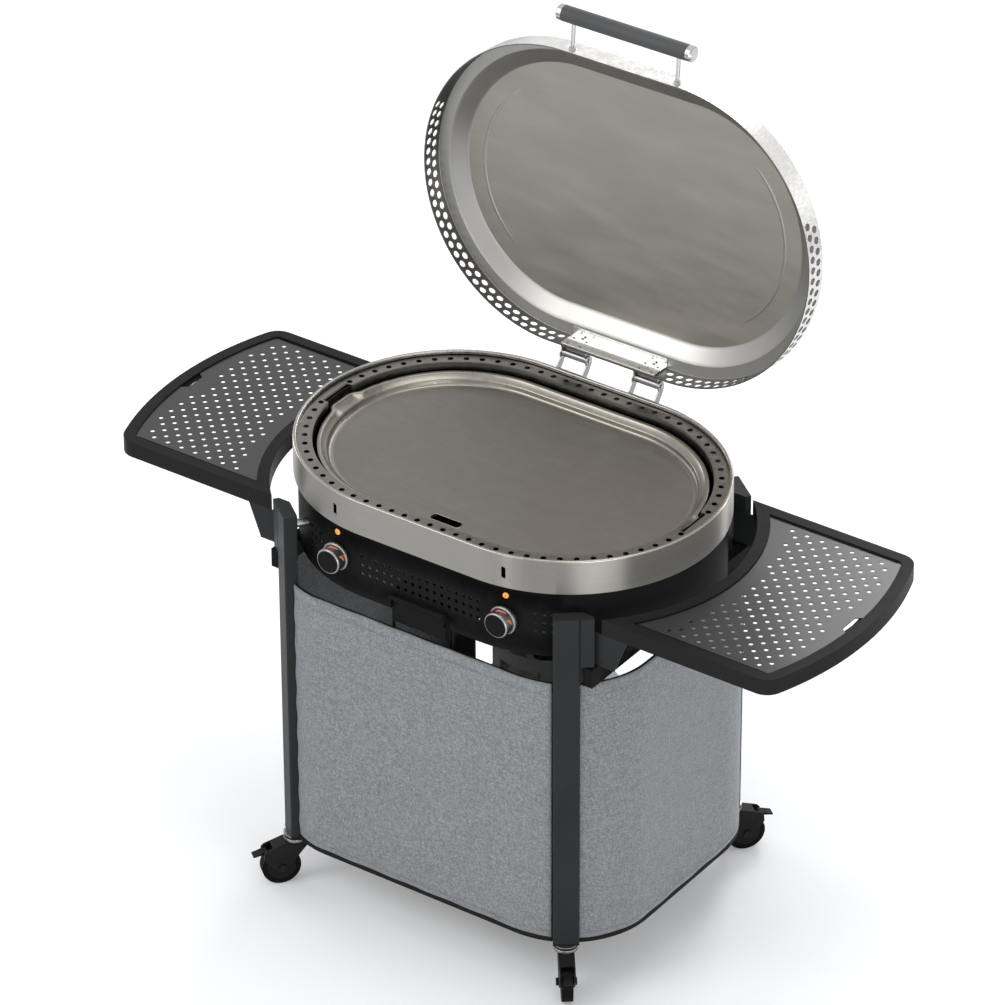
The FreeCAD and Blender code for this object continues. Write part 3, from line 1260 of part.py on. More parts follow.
def handle():
    tube = held("HandleTubeHolder", [rod("HandleTube", "handle_radius", "2 * (handle_half - handle_cap)",
                                         "-handle_half + handle_cap", "0", "0", X)])
    caps = []
    for side, turn in (("Right", "90"), ("Left", "-90")):
        cap = faceted("HandleCap" + side, 24, [("handle_radius", "handle_half - handle_cap"),
                                               ("handle_radius", "handle_half - cap_bevel"),
                                               ("handle_radius - cap_bevel", "handle_half")])
        caps.append(place(cap, turn=turn, axis=Y))
    cap_pair = fuse("HandleCaps", caps)
    posts = []
    for k, side in enumerate(("-post_across", "post_across")):
        posts.append(prism("HandlePost%d" % k, 12, "handle_post",
                           "handle_out - handle_radius + 1 + lid_wall + 6", side, "handle_radius - 1", "0", Y))
        posts.append(box("PostFoot%d" % k, side + " - 10", side + " + 10",
                         "handle_out + lid_wall", "handle_out + lid_wall + 2", "-12", "14"))
        posts.append(prism("PostCollar%d" % k, 12, "handle_post + 3", "4", side, "handle_out - 4", "0", Y))
    rods = cut("HandlePosts", fuse("HandlePostSolid", posts), rod("PostSeat", "handle_radius",
                                                                 "2 * handle_half", "-handle_half",
                                                                 "0", "0", X))
    back = "(-lid_radius - handle_out)"
    rise = "handle_up"
    y = "(%s) + %s * cos(open_angle) + %s * sin(open_angle)" % (OPEN_Y, back, rise)
    z = "(%s) - %s * sin(open_angle) + %s * cos(open_angle)" % (OPEN_Z, back, rise)
    for item, label in ((tube, "handle_tube"), (cap_pair, "handle_caps"), (rods, "handle_posts")):
        place(item, "0", y, z, "-open_angle", X)
        node(item, label)


# Casters.

def caster_tops():
    """Plate, kingpin and bearing ring under each leg."""
    tops = []
    for corner in CORNERS:
        name = corner[0]
        plate = box("CasterPlate_" + name, "-leg_wide / 2", "leg_wide / 2", "-leg_deep / 2",
                    "leg_deep / 2", "base_bottom - leg_gap", "leg_bottom")
        ring = prism("CasterRing_" + name, 24, "swivel_radius", "base_bottom - leg_gap - fork_top - swivel_gap",
                     z="fork_top + swivel_gap")
        pin = prism("CasterPin_" + name, 12, "kingpin_radius", "leg_bottom - fork_top + fork_wall + 3",
                    z="fork_top - fork_wall - swivel_gap - 3")
        nut = prism("CasterNut_" + name, 6, "kingpin_radius + 3", "3",
                    z="fork_top - fork_wall - swivel_gap - 3")
        top = fuse("CasterTop_" + name, [plate, ring, pin, nut])
        at_corner(top, corner)
        tops.append(top)
    return node(fuse("CasterTops", tops), "caster_tops")


def caster(corner):
    name = corner[0]
    half = "tread_wide / 2 + fork_gap + fork_wall"
    hub_y = "-wheel_trail"
    cheeks = []
    for k, (near, far) in enumerate((("tread_wide / 2 + fork_gap", half),
                                     ("-(%s)" % half, "-(tread_wide / 2 + fork_gap)"))):
        cheek = body("ForkCheek%d_%s" % (k, name))
        face = flat_sketch(cheek, "CheekFace%d_%s" % (k, name), "YZ_Plane", z=near)
        outline(face, [
            (hub_y + " - 10", "wheel_radius - 7"),
            (hub_y + " - 4", "wheel_radius - 11"),
            (hub_y + " + 6", "wheel_radius - 10"),
            ("swivel_radius", "fork_top - 8"),
            ("swivel_radius", "fork_top"),
            ("-swivel_radius", "fork_top"),
            ("-brake_out - 1", "brake_high + 8"),
            ("-brake_out - 6", "brake_high + 3"),
            ("-brake_out - 7", "brake_high - 12")])
        pad(cheek, "CheekPad%d_%s" % (k, name), face, "fork_wall")
        cheeks.append(cheek)
    crown = box("ForkCrown_" + name, "-(%s)" % half, half, "-swivel_radius", "swivel_radius",
                "fork_top - fork_wall", "fork_top")
    hood_face = body("ForkHood_" + name)
    hood = flat_sketch(hood_face, "HoodFace_" + name, "YZ_Plane", z="-(tread_wide / 2 + fork_gap)")
    outline(hood, [("-swivel_radius", "fork_top"), (hub_y + " - 17", "fork_top - 8"),
                   (hub_y + " - 17", "fork_top - 11"), ("-swivel_radius", "fork_top - 3")])
    pad(hood_face, "HoodPad_" + name, hood, "tread_wide + 2 * fork_gap")
    solid = fuse("ForkSolid_" + name, cheeks + [crown, hood_face])
    tools = [rod("KingpinBore_" + name, "kingpin_radius + stem_fit", "20", z="fork_top - 15"),
             prism("BrakeBore_" + name, 12, "(brake_pin + stem_fit) / cos(15)", "60", "-30", "-brake_out",
                   "brake_high", X)]
    bolt = prism("AxleBolt_" + name, 12, "axle_radius", "2 * (%s)" % half, "-(%s)" % half, hub_y,
                 "wheel_radius", X)
    head = prism("AxleHead_" + name, 6, "axle_radius + 3", "4", half, hub_y, "wheel_radius", X)
    nut = prism("AxleNut_" + name, 6, "axle_radius + 3", "5", "-(%s) - 5" % half, hub_y, "wheel_radius", X)
    bored = cut("ForkBored_" + name, solid, fuse("ForkBores_" + name, tools))
    fork = fuse("Fork_" + name, [bored, bolt, head, nut])
    at_corner(fork, corner)
    node(fork, "caster_fork_" + name)
    pin = rod("BrakePin_" + name, "brake_pin", "2 * (%s)" % half, "-(%s)" % half, "-brake_out",
              "brake_high", X)
    tongue = body("BrakeTongue_" + name)
    shape = flat_sketch(tongue, "BrakeShape_" + name, "YZ_Plane", z="-brake_wide / 2")
    outline(shape, [
        ("-brake_out + 5", "brake_high - 1"),
        ("-brake_out + 1", "brake_high - 5"),
        ("-brake_out - 5", "brake_high - 4"),
        ("-brake_out - 8", "brake_high - brake_thick"),
        ("-brake_out - brake_long", "brake_high - 3 - brake_thick"),
        ("-brake_out - brake_long", "brake_high - 3"),
        ("-brake_out - 6", "brake_high + brake_thick"),
        ("-brake_out", "brake_high + 5"),
        ("-brake_out + 5", "brake_high + 3")])
    pad(tongue, "BrakePad_" + name, shape, "brake_wide")
    lever = fuse("Brake_" + name, [tongue, pin])
    at_corner(lever, corner)
    node(lever, "caster_brake_" + name)
    tread = prism("WheelDisc_" + name, 32, "wheel_radius", "tread_wide", "-tread_wide / 2", hub_y,
                  "wheel_radius", X)
    bore = rod("WheelBore_" + name, "axle_radius + stem_fit", "tread_wide + 2", "-tread_wide / 2 - 1",
               hub_y, "wheel_radius", X)
    wheel = cut("Wheel_" + name, tread, bore)
    at_corner(wheel, corner)
    node(wheel, "caster_wheel_" + name)


# Build everything, check it and write it out.

def build():
    rim_band()
    vent_ring()
    control_skirt()
    burner_pan()
    griddle_plate()
    grease_chute()
    plate_posts()
    burners()
    gas_train()
    knob("knob_right", "knob_across")
    knob("knob_left", "-knob_across")
    indicator_lights()
    grease_tray()
    tray_rails()
    for corner in CORNERS:
        leg(corner)
        shelf_bracket(corner)
        caster(corner)
    spacers()
    side_rail("side_rail_right", 1)
    side_rail("side_rail_left", -1)
    rear_crossbar()
    caster_tops()
    bottom_shelf()
    fabric_panels()
    hem_bars()
    gas_collar(gas_cylinder())
    gas_valve()
    gas_handwheel()
    side_shelves()
    lid_shell()
    lid_hinge_leaf()
    lid_knuckles()
    hinge_base()
    hinge_pins()
    handle()
    doc.recompute()


def check():
    """Stop if a feature failed or a piece is not a sound solid."""
    faults = [f.Name for f in doc.Objects if "Invalid" in f.State or "Error" in f.State]
    for item in nodes:
        shape = item.Shape
        if shape.isNull() or not shape.isValid() or not shape.Solids:
            faults.append("shape of " + item.Label)
    if faults:
        raise RuntimeError("failed: " + ", ".join(faults))


def straight(edge):
    """Whether an edge is a straight line between its two ends."""
    ends = edge.Vertexes
    return len(ends) == 2 and abs(edge.Length - ends[0].Point.distanceToPoint(ends[1].Point)) < 1e-6


def flat_sided(shape):
    """A lofted piece with each flat side stored as a plane, where all its edges are straight."""
    lofted = any(face.Surface.TypeId == "Part::GeomBSplineSurface" for face in shape.Faces)
    if not lofted or not all(straight(edge) for edge in shape.Edges):
        return shape
    solids = []
    for solid in shape.Solids:
        whole = None
        for shell in sorted(solid.Shells, key=lambda s: -s.BoundBox.DiagonalLength):
            faces = []
            for face in shell.Faces:
                outer = face.OuterWire
                wires = [outer] + [wire for wire in face.Wires if not wire.isSame(outer)]
                loops = [[end.Point for end in wire.OrderedVertexes] for wire in wires]
                faces.append(Part.Face([Part.makePolygon(loop + loop[:1]) for loop in loops]))
            closed = Part.makeShell(faces)
            closed.sewShape()
            block = Part.Solid(closed.Shells[0])
            if block.Volume < 0:
                block.reverse()
            whole = whole.cut(block) if whole else block
        solids += whole.Solids
    return Part.makeCompound(solids) if len(solids) > 1 else solids[0]


def write():
    """Write each piece about the middle of the whole."""
    os.makedirs("parts", exist_ok=True)
    shift = V(0, -value("middle"), 0)
    for item in nodes:
        shape = flat_sided(item.Shape).translated(shift)
        shape.exportStep(os.path.join("parts", item.Label + ".step"))
        print(item.Label, len(item.Shape.Solids), round(item.Shape.Volume))


build()
check()
write()
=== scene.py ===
import math

import bmesh
import bpy
from mathutils import Matrix, Vector
from mathutils.geometry import delaunay_2d_cdt


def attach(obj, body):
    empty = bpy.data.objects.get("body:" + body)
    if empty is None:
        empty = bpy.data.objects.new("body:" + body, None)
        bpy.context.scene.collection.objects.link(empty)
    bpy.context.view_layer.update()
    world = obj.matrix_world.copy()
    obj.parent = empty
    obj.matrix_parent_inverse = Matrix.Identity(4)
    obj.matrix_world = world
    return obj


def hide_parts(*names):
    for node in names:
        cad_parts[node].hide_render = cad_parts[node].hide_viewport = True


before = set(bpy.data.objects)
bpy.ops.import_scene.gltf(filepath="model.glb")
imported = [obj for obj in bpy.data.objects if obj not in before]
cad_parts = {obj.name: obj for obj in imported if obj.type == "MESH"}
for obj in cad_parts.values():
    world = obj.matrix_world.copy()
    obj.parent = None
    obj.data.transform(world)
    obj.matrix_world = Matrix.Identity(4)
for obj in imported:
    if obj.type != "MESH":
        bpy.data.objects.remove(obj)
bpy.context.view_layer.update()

# Outdoor gas griddle station: looks on top of the fixed frame. Metres, +Z up, the front faces -Y.

# Sizes that repeat the frame's own, in metres. They count from the griddle's centre, and the frame
# counts from the middle of the whole.
MIDDLE = Vector((0, -0.03031, 0))
HEAD_HALF = 0.1275
RIM_TOP = 0.913
SKIRT_RADIUS = 0.290
SKIRT_WALL = 0.002
KNOB_ACROSS = 0.186
KNOB_HIGH = 0.775
LEG_ACROSS = 0.30984
LEG_ALONG = 0.27356
LEG_TURN = math.radians(38)
BASE_LONG = 0.392
BASE_DEEP = 0.303
BASE_CORNER = 0.174
SHELF_INNER = 0.342
SHELF_OUTER = 0.6326
SHELF_OUTER_CENTRE = 0.1345
SHELF_HALF = 0.245
SHELF_CORNER = 0.037
LID_TURN = Matrix.Rotation(-math.radians(93.7), 3, "X")
HINGE = Vector((0, 0.3221, 0.9328))
LIP_HIGH = 0.9135
CORNERS = {
    "front_right": (1, -1, LEG_TURN),
    "front_left": (-1, -1, -LEG_TURN),
    "rear_right": (1, 1, math.pi - LEG_TURN),
    "rear_left": (-1, 1, LEG_TURN - math.pi),
}


# Node helpers for procedural materials.

class Paint:
    """A material whose nodes are added one by one and wired by name."""

    def __init__(self, name, colour, rough, metal=0.0, **plain):
        self.material = bpy.data.materials.new(name)
        self.material.use_nodes = True
        self.nodes = self.material.node_tree.nodes
        self.links = self.material.node_tree.links
        self.shader = self.nodes["Principled BSDF"]
        self.shader.inputs["Base Color"].default_value = (*colour, 1)
        self.shader.inputs["Roughness"].default_value = rough
        self.shader.inputs["Metallic"].default_value = metal
        for socket, number in plain.items():
            self.shader.inputs[socket.replace("_", " ")].default_value = number
        self.place = self.add("ShaderNodeTexCoord").outputs["Object"]
        self.normal = None

    def add(self, kind, **values):
        made = self.nodes.new(kind)
        for name, number in values.items():
            if hasattr(made, name):
                setattr(made, name, number)
            else:
                made.inputs[name.replace("_", " ")].default_value = number
        return made

    def wire(self, source, target):
        self.links.new(source, target)

    def stretched(self, scale):
        """Object coordinates scaled unevenly, as grain runs one way."""
        mapping = self.add("ShaderNodeMapping")
        mapping.inputs["Scale"].default_value = scale
        self.wire(self.place, mapping.inputs["Vector"])
        return mapping.outputs["Vector"]

    def noise(self, scale, detail=3.0, rough=0.5, vector=None):
        made = self.add("ShaderNodeTexNoise", Scale=scale, Detail=detail, Roughness=rough)
        self.wire(vector or self.place, made.inputs["Vector"])
        return made.outputs["Fac"]

    def ramp(self, value, stops):
        made = self.add("ShaderNodeValToRGB")
        line = made.color_ramp.elements
        while len(line) < len(stops):
            line.new(0.5)
        for point, (place, colour) in zip(line, stops):
            point.position = place
            point.color = (*colour, 1)
        self.wire(value, made.inputs["Fac"])
        return made.outputs["Color"]

    def span(self, value, low, high, start=0.0, end=1.0):
        made = self.add("ShaderNodeMapRange")
        numbers = (("From Min", start), ("From Max", end), ("To Min", low), ("To Max", high))
        for name, number in numbers:
            made.inputs[name].default_value = number
        self.wire(value, made.inputs["Value"])
        return made.outputs["Result"]

    def mixed(self, value, first, second):
        made = self.add("ShaderNodeMix", data_type="RGBA")
        for index, colour in ((6, first), (7, second)):
            if hasattr(colour, "node"):
                self.wire(colour, made.inputs[index])
            else:
                made.inputs[index].default_value = (*colour, 1)
        self.wire(value, made.inputs[0])
        return made.outputs[2]

    def colour(self, value):
        self.wire(value, self.shader.inputs["Base Color"])

    def roughness(self, value):
        self.wire(value, self.shader.inputs["Roughness"])

    def bump(self, value, strength, distance):
        made = self.add("ShaderNodeBump", Strength=strength, Distance=distance)
        self.wire(value, made.inputs["Height"])
        if self.normal:
            self.wire(self.normal, made.inputs["Normal"])
        self.normal = made.outputs["Normal"]
        self.wire(self.normal, self.shader.inputs["Normal"])

    def soft_edges(self, radius):
        """Round the shading of sharp edges, as folded and coated sheet has no knife edge."""
        made = self.add("ShaderNodeBevel", samples=4, Radius=radius)
        if self.normal:
            self.wire(self.normal, made.inputs["Normal"])
        self.normal = made.outputs["Normal"]
        self.wire(self.normal, self.shader.inputs["Normal"])

    def painted_edge_light(self, base, bright, amount):
        """Painted highlight: edges are painted lighter than flat faces, as if they caught more light."""
        shape = self.add("ShaderNodeNewGeometry").outputs["Pointiness"]
        fade = self.span(shape, 0.0, amount, 0.51, 0.58)
        self.colour(self.mixed(fade, base, bright))


def toned(colour, factor, lift=0.0):
    """The same colour, darker or lighter."""
    return tuple(min(1, c * factor + lift) for c in colour)


def powder_coat(name, colour, rough, grain, shine=0.25):
    """Satin coating with a fine orange peel and faint patches of dust."""
    paint = Paint(name, colour, rough, Specular_IOR_Level=shine)
    peel, patches = paint.noise(1400, 2), paint.noise(9, 4)
    base = paint.ramp(patches, [(0.3, toned(colour, 0.86)), (0.7, toned(colour, 1.22, 0.003))])
    # Painted highlight: the coating's edges are painted lighter than its flat faces.
    paint.painted_edge_light(base, toned(colour, 1.6, 0.02), 0.45)
    paint.roughness(paint.span(paint.noise(240, 3), rough - 0.07, rough + 0.09))
    paint.bump(peel, grain, 0.00012)
    paint.soft_edges(0.0007)
    return paint.material


def grained(paint, colour, rough, scale, spread, patches, dull, swing, bump):
    """Long fine streaks along one direction, and patches that are a little duller."""
    streaks = paint.noise(1.0, 6, 0.65, paint.stretched(scale))
    grain = paint.ramp(streaks, [(0.35, toned(colour, 1 - spread)), (0.65, toned(colour, 1 + spread))])
    paint.colour(paint.mixed(patches, grain, toned(colour, dull)))
    paint.roughness(paint.span(streaks, rough - swing[0], rough + swing[1], 0.3, 0.7))
    paint.bump(streaks, *bump)
    return paint.material


def brushed(name, colour, rough, scale, spread=0.12):
    paint = Paint(name, colour, rough, 1.0)
    patches = paint.span(paint.noise(5, 3), 0.0, 0.35, 0.35, 0.65)
    return grained(paint, colour, rough, scale, spread, patches, 0.93, (0.05, 0.1), (0.2, 0.00005))


def ring_brushed(name, colour, rough, spread, lobes):
    """Steel brushed along its length, so that its highlights stretch upwards."""
    paint = Paint(name, colour, rough, 1.0, Anisotropic=lobes, Anisotropic_Rotation=0.25)
    tangent = paint.add("ShaderNodeTangent", direction_type="RADIAL", axis="Z")
    paint.wire(tangent.outputs["Tangent"], paint.shader.inputs["Tangent"])
    patches = paint.span(paint.noise(4, 3), 0.0, 0.4, 0.35, 0.65)
    return grained(paint, colour, rough, (2.5, 2.5, 620), spread, patches, 0.9, (0.04, 0.08), (0.03, 0.00003))


def chrome(name, colour, rough):
    """Plated or zinc-coated metal with a slight haze."""
    paint = Paint(name, colour, rough, 1.0)
    haze = paint.noise(35, 4)
    paint.roughness(paint.span(haze, rough - 0.04, rough + 0.1))
    paint.colour(paint.ramp(paint.noise(60, 3), [(0.3, toned(colour, 0.9)), (0.7, colour)]))
    paint.bump(haze, 0.05, 0.0001)
    paint.soft_edges(0.0004)
    return paint.material


def moulded(name, colour, rough, shine=0.4):
    """Moulded plastic or rubber with a fine matt texture."""
    paint = Paint(name, colour, rough, Specular_IOR_Level=shine)
    grain = paint.noise(900, 2)
    paint.colour(paint.ramp(paint.noise(25, 3), [(0.3, toned(colour, 0.85)), (0.7, toned(colour, 1.15))]))
    paint.roughness(paint.span(grain, rough - 0.06, rough + 0.08))
    paint.bump(grain, 0.25, 0.00012)
    paint.soft_edges(0.0005)
    return paint.material


def cooking_steel():
    """Brushed rolled plate, seasoned by heat in soft patches."""
    colour = (0.20, 0.185, 0.163)
    paint = Paint("cooking_steel", colour, 0.5, 0.75)
    streaks = paint.noise(1.0, 6, 0.7, paint.stretched((9, 520, 60)))
    clouds = paint.noise(3.2, 5, 0.6)
    fine = paint.noise(34, 6, 0.6)
    grain = paint.ramp(streaks, [(0.34, (0.168, 0.156, 0.138)), (0.66, (0.23, 0.216, 0.193))])
    tint = paint.mixed(paint.span(clouds, 0.0, 0.6, 0.35, 0.7), grain, (0.176, 0.16, 0.137))
    paint.colour(paint.mixed(paint.span(fine, 0.0, 0.25, 0.45, 0.8), tint, (0.258, 0.243, 0.22)))
    paint.roughness(paint.span(streaks, 0.42, 0.6, 0.3, 0.7))
    paint.bump(streaks, 0.22, 0.00006)
    return paint.material


def heather_cloth():
    """Grey woven cloth of light and dark yarns, with slubs and a slight ripple."""
    paint = Paint("heather_cloth", (0.25, 0.26, 0.26), 0.92, Sheen_Weight=0.25, Sheen_Roughness=0.5)
    warp = paint.add("ShaderNodeTexWave", wave_type="BANDS", bands_direction="Z", Scale=560.0,
                     Distortion=1.2, Detail=1.0)
    paint.wire(paint.place, warp.inputs["Vector"])
    weft = paint.noise(1.0, 2, 0.5, paint.stretched((900, 900, 140)))
    slub = paint.noise(1.0, 4, 0.7, paint.stretched((34, 34, 210)))
    cross = paint.noise(1.0, 4, 0.7, paint.stretched((150, 150, 44)))
    fleck = paint.noise(300, 4, 0.75)
    yarns = paint.ramp(fleck, [(0.30, (0.085, 0.091, 0.096)), (0.5, (0.198, 0.209, 0.216)),
                               (0.72, (0.37, 0.385, 0.395))])
    streaked = paint.mixed(paint.span(slub, 0.0, 0.75, 0.48, 0.72), yarns, (0.133, 0.14, 0.147))
    paint.colour(paint.mixed(paint.span(cross, 0.0, 0.55, 0.5, 0.72), streaked, (0.29, 0.302, 0.311)))
    paint.bump(weft, 0.35, 0.0004)
    paint.bump(warp.outputs["Fac"], 0.25, 0.0003)
    paint.bump(paint.noise(6, 2), 0.35, 0.004)
    return paint.material


def plain_glow(name, colour, strength):
    """A small coloured lens that glows a little."""
    paint = Paint(name, colour, 0.3)
    paint.shader.inputs["Emission Color"].default_value = (*colour, 1)
    paint.shader.inputs["Emission Strength"].default_value = strength
    paint.roughness(paint.span(paint.noise(300, 2), 0.25, 0.4))
    return paint.material


MATERIALS = {
    "stainless": ring_brushed("stainless_band", (0.31, 0.298, 0.276), 0.35, 0.05, 0.95),
    "ring": brushed("ring_steel", (0.19, 0.182, 0.168), 0.3, (90, 90, 90)),
    "lip": brushed("lip_steel", (0.36, 0.345, 0.32), 0.24, (60, 60, 60), spread=0.05),
    "skirt": powder_coat("skirt_black", (0.0018, 0.0017, 0.0018), 0.5, 0.15, 0.02),
    "dark": powder_coat("inner_black", (0.003,) * 3, 0.55, 0.25, 0.06),
    "frame": powder_coat("frame_grey", (0.0098, 0.0112, 0.0115), 0.42, 0.25, 0.1),
    "shelf": powder_coat("shelf_grey", (0.0065, 0.0063, 0.007), 0.4, 0.2, 0.04),
    "plate": powder_coat("shelf_plate_grey", (0.0125, 0.0127, 0.0136), 0.3, 0.2, 0.42),
    "lid_wall": brushed("lid_wall_steel", (0.74, 0.73, 0.71), 0.26, (60, 60, 420), spread=0.07),
    "lid_inner": brushed("lid_inner_steel", (0.17, 0.166, 0.158), 0.34, (60, 60, 420), spread=0.06),
    "lid_back": brushed("lid_back_steel", (0.42, 0.405, 0.38), 0.32, (5, 320, 5), spread=0.06),
    "lid_bevel": brushed("lid_bevel_steel", (0.36, 0.355, 0.34), 0.34, (2, 2, 2), spread=0.05),
    "lid_panel": brushed("lid_panel_steel", (0.36, 0.342, 0.308), 0.46, (5, 320, 5), spread=0.08),
    "cooking": cooking_steel(),
    "cooking_rim": brushed("cooking_rim", (0.27, 0.252, 0.222), 0.3, (60, 60, 60), spread=0.06),
    "burner": brushed("burner_tube", (0.5, 0.48, 0.45), 0.35, (300, 6, 300)),
    "chrome": chrome("bright_plate", (0.5, 0.5, 0.49), 0.2),
    "bright": chrome("bright_leaf", (0.93, 0.93, 0.92), 0.2),
    "handle": powder_coat("handle_grey", (0.047, 0.049, 0.051), 0.5, 0.15),
    "knob_face": moulded("knob_face", (0.0065,) * 3, 0.5, 0.06),
    "knob_skirt": chrome("knob_skirt", (0.36, 0.36, 0.355), 0.34),
    "amber": plain_glow("amber_light", (0.86, 0.36, 0.07), 0.3),
    "ember": plain_glow("ember_light", (0.4, 0.12, 0.02), 0.1),
    "fork": powder_coat("fork_black", (0.0045,) * 3, 0.34, 0.12, 0.08),
    "tyre": moulded("wheel_black", (0.005,) * 3, 0.6, 0.06),
    "hub": moulded("hub_grey", (0.009, 0.009, 0.0092), 0.45, 0.1),
    "cloth": heather_cloth(),
    "cylinder": powder_coat("cylinder_grey", (0.52, 0.52, 0.51), 0.35, 0.2),
    "brass": brushed("valve_brass", (0.72, 0.55, 0.26), 0.3, (200, 200, 20)),
    "handwheel": moulded("handwheel", (0.03, 0.033, 0.035), 0.45),
    "screw": chrome("screw_zinc", (0.34, 0.335, 0.33), 0.3),
    "red": moulded("mark_red", (0.55, 0.05, 0.07), 0.45),
    "orange": moulded("mark_orange", (0.75, 0.22, 0.05), 0.45),
    "pink": moulded("mark_pink", (0.62, 0.2, 0.22), 0.45),
    "thread": moulded("hem_thread", (0.12, 0.125, 0.13), 0.85),
}

# Which frame node gets which finish.
FINISHES = {
    "stainless": "rim_band",
    "ring": "vent_ring",
    "skirt": "control_skirt grease_tray side_rail_right side_rail_left",
    "dark": "burner_pan grease_chute plate_posts tray_rails bottom_shelf hem_bars",
    "cooking": "griddle_plate",
    "burner": "burners gas_manifold",
    "knob_face": "knob_right knob_left",
    "amber": "indicator_lights",
    "chrome": "head_spacers lid_hinge_leaf hinge_pins handle_caps handle_posts",
    "frame": "rear_crossbar",
    "fork": "caster_tops",
    "cylinder": "gas_cylinder gas_collar",
    "brass": "gas_valve",
    "handwheel": "gas_handwheel",
    "shelf": "shelf_frame_right shelf_frame_left",
    "plate": "shelf_plate_right shelf_plate_left",
    "lid_wall": "lid_shell",
    "screw": "lid_knuckles hinge_base",
    "handle": "handle_tube",
    "cloth": "fabric_front fabric_right fabric_left",
}
CORNER_FINISHES = {"leg": "frame", "shelf_bracket": "frame", "caster_fork": "fork",
                   "caster_brake": "fork", "caster_wheel": "tyre"}
NODE_FINISH = {node: finish for finish, nodes in FINISHES.items() for node in nodes.split()}
for corner in CORNERS:
    NODE_FINISH.update({kind + "_" + corner: finish for kind, finish in CORNER_FINISHES.items()})


def dress_nodes():
    """Give every frame node its finish."""
    for name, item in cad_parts.items():
        item.data.materials.clear()
        item.data.materials.append(MATERIALS[NODE_FINISH[name]])


# Pieces and sheets.

def added(name, data):
    """A new object of the scene."""
    made = bpy.data.objects.new(name, data)
    bpy.context.scene.collection.objects.link(made)
    return made


def piece(name, vertices, faces, finish, body, smooth=True):
    """A mesh object that rides on a body of the frame."""
    mesh = bpy.data.meshes.new(name)
    mesh.from_pydata([tuple(Vector(v) + MIDDLE) for v in vertices], [], faces)
    mesh.update()
    made = added(name, mesh)
    mesh.materials.append(MATERIALS[finish])
    for polygon in mesh.polygons:
        polygon.use_smooth = smooth
    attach(made, body)
    return made


def quads(rows, columns, closed=True):
    """Faces of a grid of points laid out row by row, each row closed to a ring or open."""
    faces = []
    for row in range(rows - 1):
        for k in range(columns if closed else columns - 1):
            a, b = row * columns + k, row * columns + (k + 1) % columns
            faces.append((a, b, b + columns, a + columns))
    return faces


def modifier(item, kind, **values):
    made = item.modifiers.new(kind.title(), kind)
    for name, number in values.items():
        setattr(made, name, number)
    return made


def sheet_metal(item, thickness, inside=None):
    """Give a surface its thickness and sharp cut edges, and its inner side a finish of its own."""
    solid = modifier(item, "SOLIDIFY", thickness=thickness, offset=-1)
    if inside:
        item.data.materials.append(MATERIALS[inside])
        solid.material_offset = solid.material_offset_rim = 1
    modifier(item, "EDGE_SPLIT", split_angle=math.radians(40))


def welded(item):
    """Join the seam of a closed strip and turn all its faces outwards."""
    mesh = bmesh.new()
    mesh.from_mesh(item.data)
    bmesh.ops.remove_doubles(mesh, verts=mesh.verts, dist=0.0001)
    bmesh.ops.recalc_face_normals(mesh, faces=mesh.faces)
    mesh.to_mesh(item.data)
    mesh.free()


# Perforated sheets: an outline with holes, filled by constrained triangulation.

def arc(cx, cy, radius, start, end, steps):
    return [(cx + radius * math.cos(start + (end - start) * k / steps),
             cy + radius * math.sin(start + (end - start) * k / steps)) for k in range(steps + 1)]


def circle(x, y, radius, steps):
    return arc(x, y, radius, 0, 2 * math.pi, steps)[:-1]


def long_hole(x, y, radius, half):
    """An upright slot with round ends."""
    return arc(x, y + half, radius, 0, math.pi, 8) + arc(x, y - half, radius, math.pi, 2 * math.pi, 8)


def filled(outline, holes, inner=()):
    """Vertices, faces and face centres inside an outline that keeps its holes' borders as edges."""
    points, loops = list(outline), [list(range(len(outline)))]
    for hole in holes:
        loops.append(list(range(len(points), len(points) + len(hole)))[::-1])
        points += hole
    points += list(inner)
    edges = [(loop[i], loop[(i + 1) % len(loop)]) for loop in loops for i in range(len(loop))]
    vertices, _, faces, *_ = delaunay_2d_cdt([Vector(p) for p in points], edges, [], 1, 1e-7)
    centres = [tuple(sum(vertices[i][axis] for i in face) / len(face) for axis in (0, 1)) for face in faces]
    return vertices, faces, centres


def perforated(outline, holes, inner=()):
    """Vertices and faces of a flat sheet with holes; inner points keep its triangles small."""
    vertices, faces, centres = filled(outline, holes, inner)
    cut = [(sum(p[0] for p in hole) / len(hole), sum(p[1] for p in hole) / len(hole),
            max(math.dist(p, hole[0]) for p in hole) / 2) for hole in holes]
    kept = [face for face, (x, y) in zip(faces, centres)
            if all(math.hypot(x - cx, y - cy) > radius * 0.97 for cx, cy, radius in cut)]
    return vertices, kept


def bent_sheet(name, outline, holes, place, thickness, finish, body, inside=None):
    """A perforated sheet bent round the obround; place turns its flat points into the object's."""
    vertices, faces = perforated(outline, holes)
    made = piece(name, [place(v) for v in vertices], faces, finish, body)
    welded(made)
    sheet_metal(made, thickness, inside)
    return made


def level_row(half, high, steps):
    """Points along an unrolled wall at one height, from one of its ends to the other."""
    return [(-half + 2 * half * k / steps, high) for k in range(steps + 1)]


def ring_point(along, high, radius, out=0.0):
    """A point of an obround wall, or beside it; along runs from the front's middle towards +X."""
    turn, reach = math.pi * radius, radius + out
    around = 2 * (2 * HEAD_HALF + turn)
    s = along % around
    mirror = -1 if s > around / 2 else 1
    s = min(s, around - s)
    angle = min(max((s - HEAD_HALF) / radius, 0), math.pi)
    straight = min(s, HEAD_HALF) - max(s - HEAD_HALF - turn, 0)
    return Vector((mirror * (straight + reach * math.sin(angle)), -reach * math.cos(angle), high))


# Side shelves.

